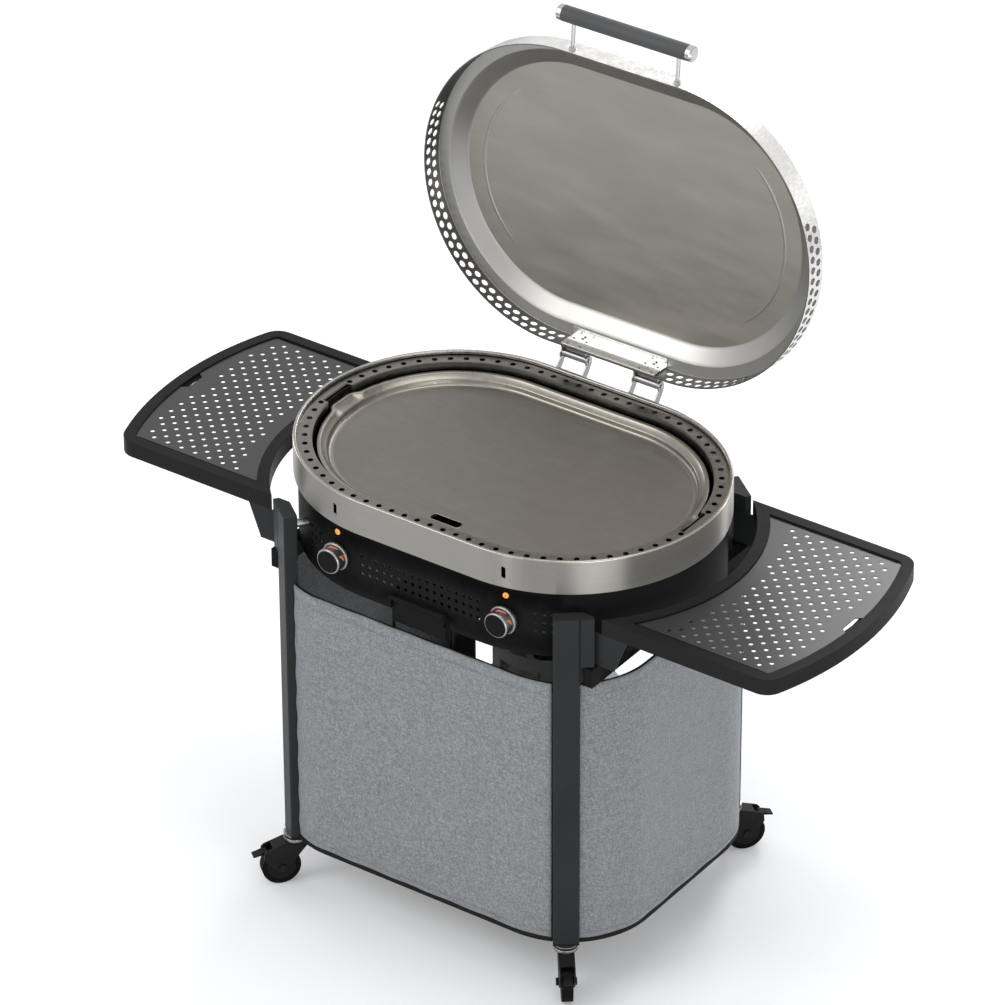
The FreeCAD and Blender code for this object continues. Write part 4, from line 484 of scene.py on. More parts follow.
def shelf_outline(inset):
    """The shelf's outline on the right side, drawn smaller by an inset."""
    half = SHELF_HALF - inset
    near, far = SHELF_INNER + inset, SHELF_OUTER - inset
    corner = max(SHELF_CORNER - inset, 0.002)
    turn_y = half - corner
    turn_x = SHELF_OUTER_CENTRE + math.sqrt((far - corner) ** 2 - turn_y ** 2)
    lean = math.atan2(turn_y, turn_x - SHELF_OUTER_CENTRE)
    reach = math.asin(half / near)
    points = arc(turn_x, -turn_y, corner, -math.pi / 2, -lean, 8)
    points += arc(SHELF_OUTER_CENTRE, 0, far, -lean, lean, 40)[1:-1]
    points += arc(turn_x, turn_y, corner, lean, math.pi / 2, 8)
    points += arc(HEAD_HALF, 0, near, reach, -reach, 36)
    return points


PLATE_TOP = 0.812
PLATE_INSET = 0.0233
PLATE_EDGE = SHELF_OUTER_CENTRE + SHELF_OUTER - PLATE_INSET
FINGER_DEEP, FINGER_FLOOR, FINGER_MOUTH = 0.014, 0.021, 0.030
HOLE_STEP_X = 0.032
HOLE_STEP_Y = 0.031
HOLE_FIRST = 0.40
HOLE_RADIUS = 0.0044
HEAD_MARGIN, FAR_MARGIN = 0.05, 0.045
FINGER_CLEAR_X, FINGER_CLEAR_Y = 0.70, 0.036
BEAD_START, BEAD_LONG = 0.40, 0.295
BEAD_ALONG = SHELF_HALF - 0.0262


def finger_notch(points):
    """Cut the finger notch into the plate's outer edge."""
    mouth, floor_x, near = PLATE_EDGE - 0.0005, PLATE_EDGE - FINGER_DEEP, PLATE_EDGE - 0.02
    notch = [(mouth, -FINGER_MOUTH), (floor_x, -FINGER_FLOOR), (floor_x, FINGER_FLOOR), (mouth, FINGER_MOUTH)]
    kept = [p for p in points if not (p[0] > near and abs(p[1]) < FINGER_MOUTH + 0.001)]
    at = next(i for i in range(len(kept) - 1) if kept[i][0] > near and kept[i][1] < 0 < kept[i + 1][1])
    return kept[:at + 1] + notch + kept[at + 1:]


def shelf_holes():
    """Staggered rows of holes over the flat field of the plate."""
    holes = []
    for row in range(-13, 14):
        y = row * HOLE_STEP_Y / 2
        for column in range(0, 20):
            x = HOLE_FIRST + column * HOLE_STEP_X + (HOLE_STEP_X / 2 if row % 2 else 0)
            from_head = math.hypot(x - HEAD_HALF, y)
            from_far = math.hypot(x - SHELF_OUTER_CENTRE, y)
            if from_head > SHELF_INNER + HEAD_MARGIN and from_far < SHELF_OUTER - FAR_MARGIN:
                if not (x > FINGER_CLEAR_X and abs(y) < FINGER_CLEAR_Y):
                    holes.append(circle(x, y, HOLE_RADIUS, 14))
    return holes


def shelf_plates():
    vertices, faces = perforated(finger_notch(shelf_outline(PLATE_INSET)), shelf_holes())
    for side, sign in (("right", 1), ("left", -1)):
        placed = [(sign * v.x, v.y, PLATE_TOP + 0.0012) for v in vertices]
        wound = [list(f) if sign > 0 else list(f)[::-1] for f in faces]
        plate = piece("shelf_plate_skin_" + side, placed, wound, "plate", "station", False)
        modifier(plate, "SOLIDIFY", thickness=0.0018, offset=-1)
        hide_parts("shelf_plate_" + side)
        shelf_beads(side, sign)


def shelf_beads(side, sign):
    """A thin bead along each shelf's rear and front border, beside the plate's edge."""
    last, half_wide, half_tall = 8, Vector((0, 0.0008, 0)), Vector((0, 0, 0.0011))
    faces = [(a + k, a + (k + 1) % 4, a + 4 + (k + 1) % 4, a + 4 + k)
             for a in range(0, 4 * last, 4) for k in range(4)]
    faces += [(3, 2, 1, 0), tuple(range(4 * last, 4 * last + 4))]
    for name, y in (("rear", BEAD_ALONG), ("front", -BEAD_ALONG)):
        vertices = []
        for k in range(last + 1):
            here = Vector((sign * (BEAD_START + BEAD_LONG * k / last), y, PLATE_TOP + 0.0016))
            for across, up in ((-sign, 1), (sign, 1), (sign, -1), (-sign, -1)):
                vertices.append(here + across * half_wide + up * half_tall)
        piece("shelf_%s_bead_%s" % (name, side), vertices, faces, "shelf", "station", False)


# Control skirt: a bent sheet with real vent holes.

SKIRT_LOW = 0.706
SKIRT_HIGH = 0.850
SKIRT_REACH = 0.30
TRAY_HALF, TRAY_TOP = 0.065, 0.732
VENT_ROWS = (0.792, 0.774, 0.756)
VENT_STEP = 0.01607
VENT_RADIUS = 0.0038
VENT_END_ANGLES = (22.4, 25.7, 28.6)
STEM_RADIUS = 0.0065
GRID_STEP = 0.0095
GRID_LEVELS = (0.72, 0.742, 0.808, 0.828, 0.84)


def skirt_front():
    """The front stretch of the skirt with its vents, the knobs' stem holes and the tray notch."""
    reach = SKIRT_REACH
    outline = level_row(-reach, SKIRT_HIGH, 60)
    outline += [(-reach + (reach - TRAY_HALF) * k / 24, SKIRT_LOW) for k in range(25)]
    outline += [(-TRAY_HALF, TRAY_TOP), (TRAY_HALF, TRAY_TOP)]
    outline += [(TRAY_HALF + (reach - TRAY_HALF) * k / 24, SKIRT_LOW) for k in range(25)]
    holes = []
    for high in VENT_ROWS:
        columns = [VENT_STEP * k for k in range(-8, 9)]
        for angle in VENT_END_ANGLES:
            extra = HEAD_HALF + SKIRT_RADIUS * math.radians(angle)
            columns += [extra, -extra]
        holes += [circle(x, high, VENT_RADIUS, 12) for x in columns]
    knob_along = HEAD_HALF + SKIRT_RADIUS * math.asin((KNOB_ACROSS - HEAD_HALF) / SKIRT_RADIUS)
    holes += [circle(side * knob_along, KNOB_HIGH, STEM_RADIUS, 16) for side in (1, -1)]
    grid = [(-reach + GRID_STEP * k, z) for k in range(1, 63) for z in GRID_LEVELS
            if not (z < TRAY_TOP + 0.003 and abs(-reach + GRID_STEP * k) < TRAY_HALF + 0.005)]
    return outline, holes, grid


def control_skirt():
    """A bent sheet: the perforated front stretch and a plain one round the sides and the rear."""
    vertices, faces = perforated(*skirt_front())
    placed = [ring_point(v.x, v.y, SKIRT_RADIUS) for v in vertices]
    plain = 2 * (2 * HEAD_HALF + math.pi * SKIRT_RADIUS) - 2 * SKIRT_REACH
    steps = 90
    first = len(placed)
    for k in range(steps + 1):
        for high in (SKIRT_LOW, SKIRT_HIGH):
            placed.append(ring_point(SKIRT_REACH + plain * k / steps, high, SKIRT_RADIUS))
    faces = [list(f) for f in faces]
    for a in range(first, first + 2 * steps, 2):
        faces.append([a, a + 2, a + 3, a + 1])
    skirt = piece("skirt_sheet", placed, faces, "skirt", "station")
    welded(skirt)
    sheet_metal(skirt, SKIRT_WALL)
    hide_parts("control_skirt")


# Fabric: taut cloth between the legs.

def base_point(along, out=0.0):
    """A point of the base outline, or beside it; along runs from the front's middle towards +X."""
    straight_x, straight_y = BASE_LONG - BASE_CORNER, BASE_DEEP - BASE_CORNER
    quarter = BASE_CORNER * math.pi / 2
    s, mirror = abs(along), math.copysign(1, along)
    front = min(max(s - straight_x, 0), quarter)
    side = min(max(s - straight_x - quarter, 0), 2 * straight_y)
    rear = max(s - straight_x - quarter - 2 * straight_y, 0)
    angle = (front + rear) / BASE_CORNER
    outwards = Vector((mirror * math.sin(angle), -math.cos(angle), 0))
    return Vector((mirror * min(s, straight_x), side - straight_y, 0)) + outwards * (BASE_CORNER + out)


FABRIC_LOW = 0.1155
FABRIC_HIGH = 0.6728
FABRIC_THICK = 0.0024
HEM_TALL = 0.024
HALF_LEG = 0.0252
EDGE_RIPPLE, HEM_RIPPLE, SLACK = 0.0009, 0.0006, 0.0016
STITCH_STEP, STITCH_LONG, STITCH_HALF = 0.0062, 0.0042, 0.0006


def leg_along(side, start, count):
    """Where a leg's middle meets the base outline, on the front (-1) or the rear (1) side."""
    return min((abs(base_point(s).x - LEG_ACROSS) + abs(base_point(s).y - side * LEG_ALONG), s)
               for s in [start + 0.0005 * k for k in range(count)])[1]


def fabric_panel(name, start, end, phase):
    """Cloth from one leg to the next, with slight tension ripples near its held edges."""
    columns, rows = 150, 70
    vertices = []
    for j in range(rows + 1):
        high = FABRIC_LOW + (FABRIC_HIGH - FABRIC_LOW) * j / rows
        t = j / rows
        for i in range(columns + 1):
            u = i / columns
            s = start + (end - start) * u
            edge = math.exp(-min(u, 1 - u) * 26)
            hem = math.exp(-min(t, 1 - t) * 30)
            ripple = EDGE_RIPPLE * edge * math.sin(high * 95 + phase)
            ripple += HEM_RIPPLE * hem * math.sin(s * 70 + phase)
            slack = -SLACK * math.sin(math.pi * u) * math.sin(math.pi * t)
            vertices.append(base_point(s, -0.0006 + ripple + slack) + Vector((0, 0, high)))
    cloth = piece(name, vertices, quads(rows + 1, columns + 1, False), "cloth", "station")
    modifier(cloth, "SOLIDIFY", thickness=FABRIC_THICK, offset=-1 if start < end else 1)
    return cloth


def seam(name, start, end, high):
    """A row of stitches along a hem."""
    vertices, faces = [], []
    count = int(abs(end - start) / STITCH_STEP)
    rise, lift = Vector((0, 0, STITCH_HALF)), Vector((0, 0, high))
    for k in range(count):
        s0 = start + (end - start) * (k + 0.2) / count
        s1 = s0 + math.copysign(STITCH_LONG, end - start)
        at = len(vertices)
        for s, out, spread in ((s0, 0.0004, 0.3), ((s0 + s1) / 2, 0.0009, 1.0), (s1, 0.0004, 0.3)):
            point = base_point(s, out) + lift
            vertices += [point + rise * spread, point - rise * spread]
        faces += [tuple(at + i for i in face) for face in quads(3, 2, False)]
    return piece(name, vertices, faces, "thread", "station")


def fabric():
    front_end, rear_end = leg_along(-1, 0.2, 500), leg_along(1, 0.5, 1100)
    spans = {
        "front": (-front_end + HALF_LEG, front_end - HALF_LEG, 0.0),
        "right": (front_end + HALF_LEG, rear_end - HALF_LEG, 1.3),
        "left": (-front_end - HALF_LEG, -rear_end + HALF_LEG, 2.1),
    }
    for side, (start, end, phase) in spans.items():
        cloth = fabric_panel("cloth_" + side, start, end, phase)
        rows = [seam("stitch_%s_%d" % (side, k), start, end, high) for k, high in
                enumerate((FABRIC_HIGH - HEM_TALL, FABRIC_LOW + 0.012))]
        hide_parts("fabric_" + side)


# Turned details: knob dials, lights, screws, hub discs and raceways.

def turned(name, profile, place, axis, finish, body, steps=48):
    """A piece turned about an axis from (radius, height) pairs."""
    axis = Vector(axis).normalized()
    across = axis.orthogonal().normalized()
    over = axis.cross(across)
    vertices = []
    for radius, high in profile:
        for k in range(steps):
            angle = 2 * math.pi * k / steps
            side = across * math.cos(angle) + over * math.sin(angle)
            vertices.append(Vector(place) + axis * high + side * radius)
    faces = quads(len(profile), steps)
    faces.append(tuple(range(steps))[::-1])
    top = (len(profile) - 1) * steps
    faces.append(tuple(range(top, top + steps)))
    made = piece(name, vertices, faces, finish, body)
    modifier(made, "BEVEL", width=0.0003, segments=2, limit_method="ANGLE", angle_limit=0.6)
    modifier(made, "WEIGHTED_NORMAL", keep_sharp=True)


KNOB_SLEEVE = [(0.0279, 0.2897), (0.0281, 0.291), (0.0281, 0.2952), (0.0262, 0.2962), (0.0254, 0.2968),
               (0.0254, 0.3145), (0.0246, 0.3165), (0.0236, 0.3178), (0.0226, 0.3182)]
KNOB_FRONT = 0.318
KNOB_CAP = [(0.0222, KNOB_FRONT + 0.0001), (0.0222, KNOB_FRONT + 0.0004), (0.0214, KNOB_FRONT + 0.0010),
            (0.0205, KNOB_FRONT + 0.0007)]
# Finish, start and sweep in degrees of each coloured patch.
HEAT_MARKS = (("pink", 62, 40), ("orange", 8, 26), ("red", 112, 16))
MARK_RADIUS, MARK_NEAR, MARK_LONG = 0.0255, 0.2985, 0.012


def knob_dial(side, sign):
    """A silver sleeve round the grip, a black face and three generic heat marks."""
    x = sign * KNOB_ACROSS
    place = (x, 0, KNOB_HIGH)
    body = "knob_" + side
    turned("knob_sleeve_" + side, KNOB_SLEEVE, place, (0, -1, 0), "knob_skirt", body)
    turned("knob_cap_" + side, KNOB_CAP, place, (0, -1, 0), "knob_face", body)
    for index, (finish, start, sweep) in enumerate(HEAT_MARKS):
        mark_band("knob_mark_%s_%d" % (side, index), x, math.radians(start), math.radians(sweep),
                  finish, body)


def mark_band(name, x, start, sweep, finish, body):
    """A coloured patch printed on the side of a knob."""
    steps = 10
    vertices, faces = [], []
    for k in range(steps + 1):
        angle = start + sweep * k / steps
        taper = 0.35 + 0.65 * k / steps
        for depth in (MARK_NEAR, MARK_NEAR + MARK_LONG * taper):
            vertices.append((x + MARK_RADIUS * math.cos(angle), -depth,
                             KNOB_HIGH + MARK_RADIUS * math.sin(angle)))
    for a in range(0, 2 * steps, 2):
        faces.append((a, a + 2, a + 3, a + 1))
    mark = piece(name, vertices, faces, finish, body)
    modifier(mark, "SOLIDIFY", thickness=0.0002, offset=0)


LIGHT_HIGH = 0.823
LIGHT_CORE = [(0.0020, 0.0004), (0.0020, 0.0009), (0.0016, 0.0012), (0.0008, 0.0013)]
LIGHT_RING = [(0.0058, -0.0018), (0.0058, 0.0001), (0.0050, 0.0008), (0.0032, 0.0009)]


def indicator_lights():
    """A lens and a darker middle above each knob."""
    lean = math.asin((KNOB_ACROSS - HEAD_HALF) / SKIRT_RADIUS)
    for side, sign in (("right", 1), ("left", -1)):
        out = Vector((sign * math.sin(lean), -math.cos(lean), 0))
        middle = Vector((sign * HEAD_HALF, 0, LIGHT_HIGH)) + out * (SKIRT_RADIUS + 0.0021)
        turned("light_core_" + side, LIGHT_CORE, middle, out, "ember", "station", 24)
        turned("light_ring_" + side, LIGHT_RING, middle, out, "amber", "station", 32)


def screw(name, place, axis, radius, body):
    """A pan head with a cross recess suggested by its raised rim."""
    profile = [(1, 0), (1, 0.25), (0.86, 0.5), (0.5, 0.62), (0.34, 0.46), (0.1, 0.4)]
    turned(name, [(radius * r, radius * high) for r, high in profile], place, axis, "screw", body,
           20)


# The lid, drawn closed and turned open.

PAD_ACROSS = 0.081
LID_RADIUS = 0.2985
LID_WALL = 0.002
LID_EDGE = 0.0448
LID_TALL = 0.0665
LID_HOLE = 0.007
LID_ROWS = (0.012, 0.030)
LID_FIRST, LID_SWEEP, LID_COLUMNS = -20, 109, 28
BEVEL_OUT, BEVEL_IN, BEVEL_STEPS = 0.2735, 0.2425, 6
PANEL_OUT, PANEL_IN = 0.2410, 0.2405


def opened(point):
    """A point drawn on the closed lid, above its lip, turned to the open pose."""
    closed = Vector(point) + Vector((0, 0, LIP_HIGH))
    return HINGE + LID_TURN @ (closed - HINGE)


def lid_details():
    """Screws on the hinge pads, and the two pressed arcs of the lid's panel."""
    for side in (1, -1):
        for k, across in enumerate((-0.020, 0, 0.020)):
            place = opened((side * PAD_ACROSS + across, 0.3016, 0.0325))
            screw("pad_screw_%d_%d" % (side, k), place, LID_TURN @ Vector((0, 1, 0)), 0.0030, "lid")
        for k, across in enumerate((-0.018, 0.018)):
            place = Vector((side * PAD_ACROSS + across, 0.3011, 0.893))
            screw("base_screw_%d_%d" % (side, k), place, (0, 1, 0), 0.0042, "station")
        pressed_arc("lid_arc_%d" % side, side)


def lid_wall():
    """The lid's upright wall with two staggered rows of holes round each end."""
    half = 2 * HEAD_HALF + math.pi * LID_RADIUS
    step = LID_SWEEP / (LID_COLUMNS - 1)
    holes = []
    for k in range(LID_COLUMNS):
        for row, high in enumerate(LID_ROWS):
            angle = math.radians(90 + LID_FIRST + step * (k + 0.5 * row))
            along = HEAD_HALF + LID_RADIUS * angle
            holes += [circle(side * along, high, LID_HOLE, 14) for side in (1, -1)
                      if along + LID_HOLE < half]
    return bent_sheet("lid_wall_sheet", level_row(half, 0.0, 250) + level_row(-half, LID_EDGE, 250), holes,
                      lambda v: opened(ring_point(v.x, v.y, LID_RADIUS)), LID_WALL, "lid_wall", "lid",
                      "lid_inner")


def ring_rows(name, rows, finish, body, steps=64, close=False, place=opened, bulge=None,
              inside=None):
    """A sheet run round the obround along rows of (radius, height, share of the bulge)."""
    loop = [(1, -math.pi / 2 + math.pi * k / steps) for k in range(steps + 1)]
    loop += [(-1, math.pi / 2 + math.pi * k / steps) for k in range(steps + 1)]
    vertices = []
    for radius, high, *share in rows:
        for side, angle in loop:
            far = radius + share[0] * bulge(angle) if share and bulge else radius
            vertices.append(place((side * HEAD_HALF + far * math.cos(angle), far * math.sin(angle), high)))
    faces = quads(len(rows), len(loop))
    if close:
        faces.append(tuple(range((len(rows) - 1) * len(loop), len(rows) * len(loop))))
    made = piece(name, vertices, faces, finish, body)
    sheet_metal(made, LID_WALL, inside)
    welded(made)


def lid_skin():
    """The lid in three finishes: its wall, its ledge and bevel, and its flat panel."""
    wall = lid_wall()
    radius, edge = LID_RADIUS, LID_EDGE
    rows = [(radius, edge), (radius - 0.0004, edge + 0.0010), (radius - 0.0012, edge + 0.0018),
            (radius - 0.0022, edge + 0.0022), (0.2745, edge + 0.0022), (BEVEL_OUT, edge + 0.0025)]
    rows += [(BEVEL_OUT - 0.031 * k / BEVEL_STEPS, edge + 0.0025 + 0.0188 * k / BEVEL_STEPS)
             for k in range(1, BEVEL_STEPS)]
    rows += [(BEVEL_IN, LID_TALL - 0.0003), (PANEL_OUT, LID_TALL)]
    ring_rows("lid_bevel_sheet", rows, "lid_wall", "lid", inside="lid_bevel")
    rows = [(PANEL_OUT, LID_TALL), (PANEL_IN, LID_TALL)]
    rows += [(PANEL_IN - 0.02 * k, LID_TALL) for k in range(1, 12)] + [(0.002, LID_TALL)]
    ring_rows("lid_panel_sheet", rows, "lid_back", "lid", close=True, inside="lid_panel")
    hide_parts("lid_shell")


# The head's steel: band, perforated ring and cooking plate.

BAND_RADIUS = 0.298
BAND_LOW = 0.844
BAND_HIGH = 0.9105
BAND_WALL = 0.0025
BAND_LIP = [(0.2980, 0.9105), (0.2977, 0.9117), (0.2970, 0.9126), (0.2958, 0.9130), (0.2932, 0.9130),
            (0.2921, 0.9126), (0.2913, 0.9117), (0.2910, 0.9105), (0.2908, 0.9068)]
SIGHT_HIGH, SIGHT_RADIUS, SIGHT_HALF = 0.875, 0.0040, 0.010
RING_HIGH = 0.905
RING_WALL = 0.002
RING_PITCH = 0.276
RING_STEP = math.radians(6.2069)
RING_SIDE_STEP = 0.02833
RING_HOLE = 0.0055
RING_IN, RING_OUT = 0.264, 0.2948
SHADE_HIGH = 0.8660
NOTCH_HALF, NOTCH_REACH = 0.037, 0.2745


def band_skin():
    """The band's wall with its two sight slots, and its rolled lip."""
    half = 2 * HEAD_HALF + math.pi * BAND_RADIUS
    along = HEAD_HALF + BAND_RADIUS * math.asin((KNOB_ACROSS - HEAD_HALF) / BAND_RADIUS)
    slots = [long_hole(side * along, SIGHT_HIGH, SIGHT_RADIUS, SIGHT_HALF) for side in (1, -1)]
    wall = bent_sheet("band_wall", level_row(half, BAND_LOW, 260) + level_row(-half, BAND_HIGH, 260), slots,
                      lambda v: ring_point(v.x, v.y, BAND_RADIUS), BAND_WALL, "stainless", "station")
    ring_rows("band_lip", BAND_LIP, "lip", "station", place=Vector)
    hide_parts("rim_band")


def notch_bulge(angle):
    """The flange steps back round the lifting notch."""
    angle = abs(math.atan2(math.sin(angle), abs(math.cos(angle))))
    if angle < math.atan2(NOTCH_HALF, NOTCH_REACH):
        return NOTCH_REACH / math.cos(angle) - RING_IN
    return 0.0


def ring_holes(half, middle):
    """The ring's row of holes: 14 from each end's middle to either side, and 4 along each half straight."""
    holes = []
    for k in range(14):
        turn = (math.pi / 2 - RING_STEP * k) * RING_PITCH
        holes += [side * (middle + way * turn) for side in (1, -1) for way in (1, -1)]
    for k in range(4):
        x = RING_SIDE_STEP * (k + 0.5)
        holes += [x, -x, half - x, x - half]
    return [circle(along, RING_PITCH, RING_HOLE, 14) for along in holes]


def vent_ring_skin():
    """The perforated ring, laid out along its row of holes, with a lifting notch at each end."""
    quarter = math.pi * RING_PITCH / 2
    half = 2 * HEAD_HALF + 2 * quarter
    middle = HEAD_HALF + quarter
    narrow, wide = math.asin(NOTCH_HALF / RING_IN), math.atan2(NOTCH_HALF, NOTCH_REACH)
    notch = [(wide * k / 6, NOTCH_REACH / math.cos(wide * k / 6)) for k in range(-6, 7)]
    notch = [(-narrow, RING_IN)] + notch + [(narrow, RING_IN)]
    inner = level_row(half, RING_IN, 300)
    for end in (-middle, middle):
        inner = [p for p in inner if abs(p[0] - end) > narrow * RING_PITCH + 0.001]
        at = next(i for i, p in enumerate(inner) if p[0] > end)
        inner[at:at] = [(end + angle * RING_PITCH, radius) for angle, radius in notch]
    ring = bent_sheet("vent_ring_sheet", inner + level_row(-half, RING_OUT, 300), ring_holes(half, middle),
                      lambda v: ring_point(v.x, RING_HIGH, RING_PITCH, v.y - RING_PITCH), RING_WALL, "ring",
                      "station")
    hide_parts("vent_ring")
    ring_rows("ring_flange", [(RING_IN, 0.9042, 1), (RING_IN, 0.8905, 1)], "ring", "station",
              120, place=Vector, bulge=notch_bulge)
    # ring_shade is a black sheet below the ring's holes: painted shade, so that the holes read dark.
    ring_rows("ring_shade", [(radius, SHADE_HIGH) for radius in (0.2870, 0.2780, 0.2700)], "dark", "station",
              place=Vector)


TAB_END, TAB_BASE, TAB_OUT = 0.030, 0.043, 0.264
PLATE_RADIUS = 0.254
FLOOR_HIGH = 0.873
FLOOR_RADIUS = 0.224
FLOOR_THICK = 0.005
SLOT_HALF, SLOT_BACK, SLOT_FRONT, SLOT_CORNER = 0.032, 0.197, 0.216, 0.006
# Radius, height and share of the lifting tab's bulge, from the rim's outer foot to the floor.
PLATE_ROWS = [(0.2540, 0.8690), (0.2540, 0.8780), (0.2540, 0.8795, 1), (0.2540, 0.8912, 1),
              (0.2536, 0.8924, 1), (0.2526, 0.8930, 1), (0.2474, 0.8930, 1), (0.2463, 0.8925, 1),
              (0.2456, 0.8914, 1), (0.2450, 0.8906, 1), (0.2374, 0.8852), (0.2364, 0.8846),
              (0.2356, 0.8836), (0.2350, 0.8822), (0.2342, 0.8776), (0.2328, 0.8750), (0.2308, 0.8737),
              (0.2282, 0.8732), (FLOOR_RADIUS, FLOOR_HIGH)]
# Height above the floor and growth outwards of the rows that round the slot's edge.
SLOT_ROWS = ((0.0, 0.0018), (0.0006, 0.0008), (0.0004, 0.0), (-0.006, 0.0))


def tab_bulge(angle):
    """How far the lifting tab stands out of the plate's round end, at an angle from its middle."""
    angle = abs(math.atan2(math.sin(angle), abs(math.cos(angle))))
    near, far = math.atan2(TAB_END, TAB_OUT), math.atan2(TAB_BASE, 0.252)
    if angle < near:
        return TAB_OUT / math.cos(angle) - PLATE_RADIUS
    if angle < far:
        return (TAB_OUT - PLATE_RADIUS + 0.0017) * (far - angle) / (far - near)
    return 0.0


def slot_outline():
    """The grease slot's border, a rectangle with round corners."""
    right, back, front = SLOT_HALF - SLOT_CORNER, -SLOT_BACK - SLOT_CORNER, -SLOT_FRONT + SLOT_CORNER
    corners = ((right, back, 0), (-right, back, 90), (-right, front, 180), (right, front, 270))
    return [point for cx, cy, start in corners
            for point in arc(cx, cy, SLOT_CORNER, math.radians(start), math.radians(start + 90), 6)]


def plate_skin():
    """The cooking plate: rolled rim with two lifting tabs, a sloping ledge, a wall and the flat floor."""
    ring_rows("plate_rim", PLATE_ROWS, "cooking_rim", "griddle_plate", 120,
              place=Vector, bulge=tab_bulge)
    outline = arc(HEAD_HALF, 0, FLOOR_RADIUS, -math.pi / 2, math.pi / 2, 120)
    outline += arc(-HEAD_HALF, 0, FLOOR_RADIUS, math.pi / 2, 3 * math.pi / 2, 120)
    slot = slot_outline()
    points, faces, centres = filled(outline, [slot])
    kept = [face for face, (x, y) in zip(faces, centres)
            if not (abs(x) < SLOT_HALF and -SLOT_FRONT < y < -SLOT_BACK)]
    ground = piece("plate_floor", [(p.x, p.y, FLOOR_HIGH) for p in points], kept, "cooking",
                   "griddle_plate", False)
    modifier(ground, "SOLIDIFY", thickness=FLOOR_THICK, offset=-1)
    edge = [(x * (1 + grow / SLOT_HALF), y + math.copysign(grow, y + (SLOT_BACK + SLOT_FRONT) / 2),
             FLOOR_HIGH + high) for high, grow in SLOT_ROWS for x, y in slot]
    piece("plate_slot_edge", edge, quads(len(SLOT_ROWS), len(slot)), "cooking_rim", "griddle_plate")
    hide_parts("griddle_plate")


LEAF_HALF = 0.1045
LEAF_STRIPS = ((0.0025, 0.0232, 0.0006, 0.0020), (0.0244, 0.0446, 0.0020, 0.0006))
LEAF_SCREWS = ((0.094, 0.006), (0.080, 0.014), (0.066, 0.006))


def leaf_plates():
    """Two bright strips on the hinge leaf, with a fold between them and screws at their ends."""
    back = LID_RADIUS - LID_WALL - 0.0020
    for index, (low, high, near, far) in enumerate(LEAF_STRIPS):
        profile = [(back, low), (back - near, low + 0.0008), (back - far, high - 0.0008), (back, high)]
        vertices = [opened((side * LEAF_HALF, y, z)) for side in (-1, 1) for y, z in profile]
        faces = [(0, 1, 2, 3), (7, 6, 5, 4)] + [(k, k + 4, (k + 1) % 4 + 4, (k + 1) % 4) for k in range(4)]
        made = piece("leaf_strip_%d" % index, vertices, faces, "bright", "lid", False)
        modifier(made, "BEVEL", width=0.0004, segments=2)
        for side in (-1, 1):
            for k, (across, rise) in enumerate(LEAF_SCREWS):
                place = opened((side * across, back - 0.0013, low + rise))
                screw("leaf_screw_%d_%d_%d" % (index, side, k), place, LID_TURN @ Vector((0, -1, 0)),
                      0.0026, "lid")


def pressed_arc(name, side):
    """A shallow rib pressed into the lid's panel, parallel to its end."""
    steps, radius, width, height = 36, 0.205, 0.007, 0.0012
    vertices = []
    profile = [(-1, 0), (-0.6, 0.55), (0, 1), (0.6, 0.55), (1, 0)]
    for k in range(steps + 1):
        angle = math.radians(-52 + 104 * k / steps)
        fade = math.sin(math.pi * k / steps) ** 0.35
        for across, rise in profile:
            r = radius + across * width / 2
            x, y = side * (HEAD_HALF + r * math.cos(angle)), r * math.sin(angle)
            vertices.append(opened((x, y, LID_TALL - LID_WALL + 0.0002 - rise * height * fade)))
    piece(name, vertices, quads(steps + 1, len(profile), False), "lid_bevel", "lid")


WHEEL_HIGH, WHEEL_TRAIL = 0.038, 0.030
HUB_DISC = [(0.0275, 0.0104), (0.0275, 0.0108), (0.0262, 0.0114), (0.022, 0.0112), (0.0205, 0.0106),
            (0.0085, 0.0106), (0.0085, 0.0112), (0.006, 0.0112)]
RACE = [(0.0195, 0.0925), (0.0226, 0.094), (0.0226, 0.0985), (0.0206, 0.1010), (0.0206, 0.1030),
        (0.0225, 0.1045), (0.0225, 0.1062), (0.019, 0.1068)]


def caster_details():
    """Hub discs on each wheel and a zinc raceway above each fork."""
    for name, (sx, sy, turn) in CORNERS.items():
        across = Vector((math.cos(turn), math.sin(turn), 0))
        out = Vector((math.sin(turn), -math.cos(turn), 0))
        pivot = Vector((sx * LEG_ACROSS, sy * LEG_ALONG, 0.0))
        hub = Vector((sx * LEG_ACROSS, sy * LEG_ALONG, WHEEL_HIGH)) + out * WHEEL_TRAIL
        for k, sign in enumerate((1, -1)):
            turned("hub_disc_%s_%d" % (name, k), HUB_DISC, hub, across * sign, "hub", "wheel_" + name,
                   40)
        turned("race_" + name, RACE, pivot, (0, 0, 1), "screw", "station", 40)


# Stage: camera, floor and lamps.

CAMERA_AZIMUTH = math.radians(35.2575)
CAMERA_ABOVE = math.radians(32.0048)
CAMERA_ROLL = -0.0041823
CAMERA_DISTANCE = 11.61829
CAMERA_SIDE = -0.017345
CAMERA_RISE = -0.091091
CAMERA_LENS = 228.387
SENSOR = 36.0
FLOOR_SIZE = 30
FLOOR_GLOW = 0.14
SURROUND = 0.6
HEAD_AIM = (0, 0, 0.88)
BODY_AIM = (0, 0, 0.8)
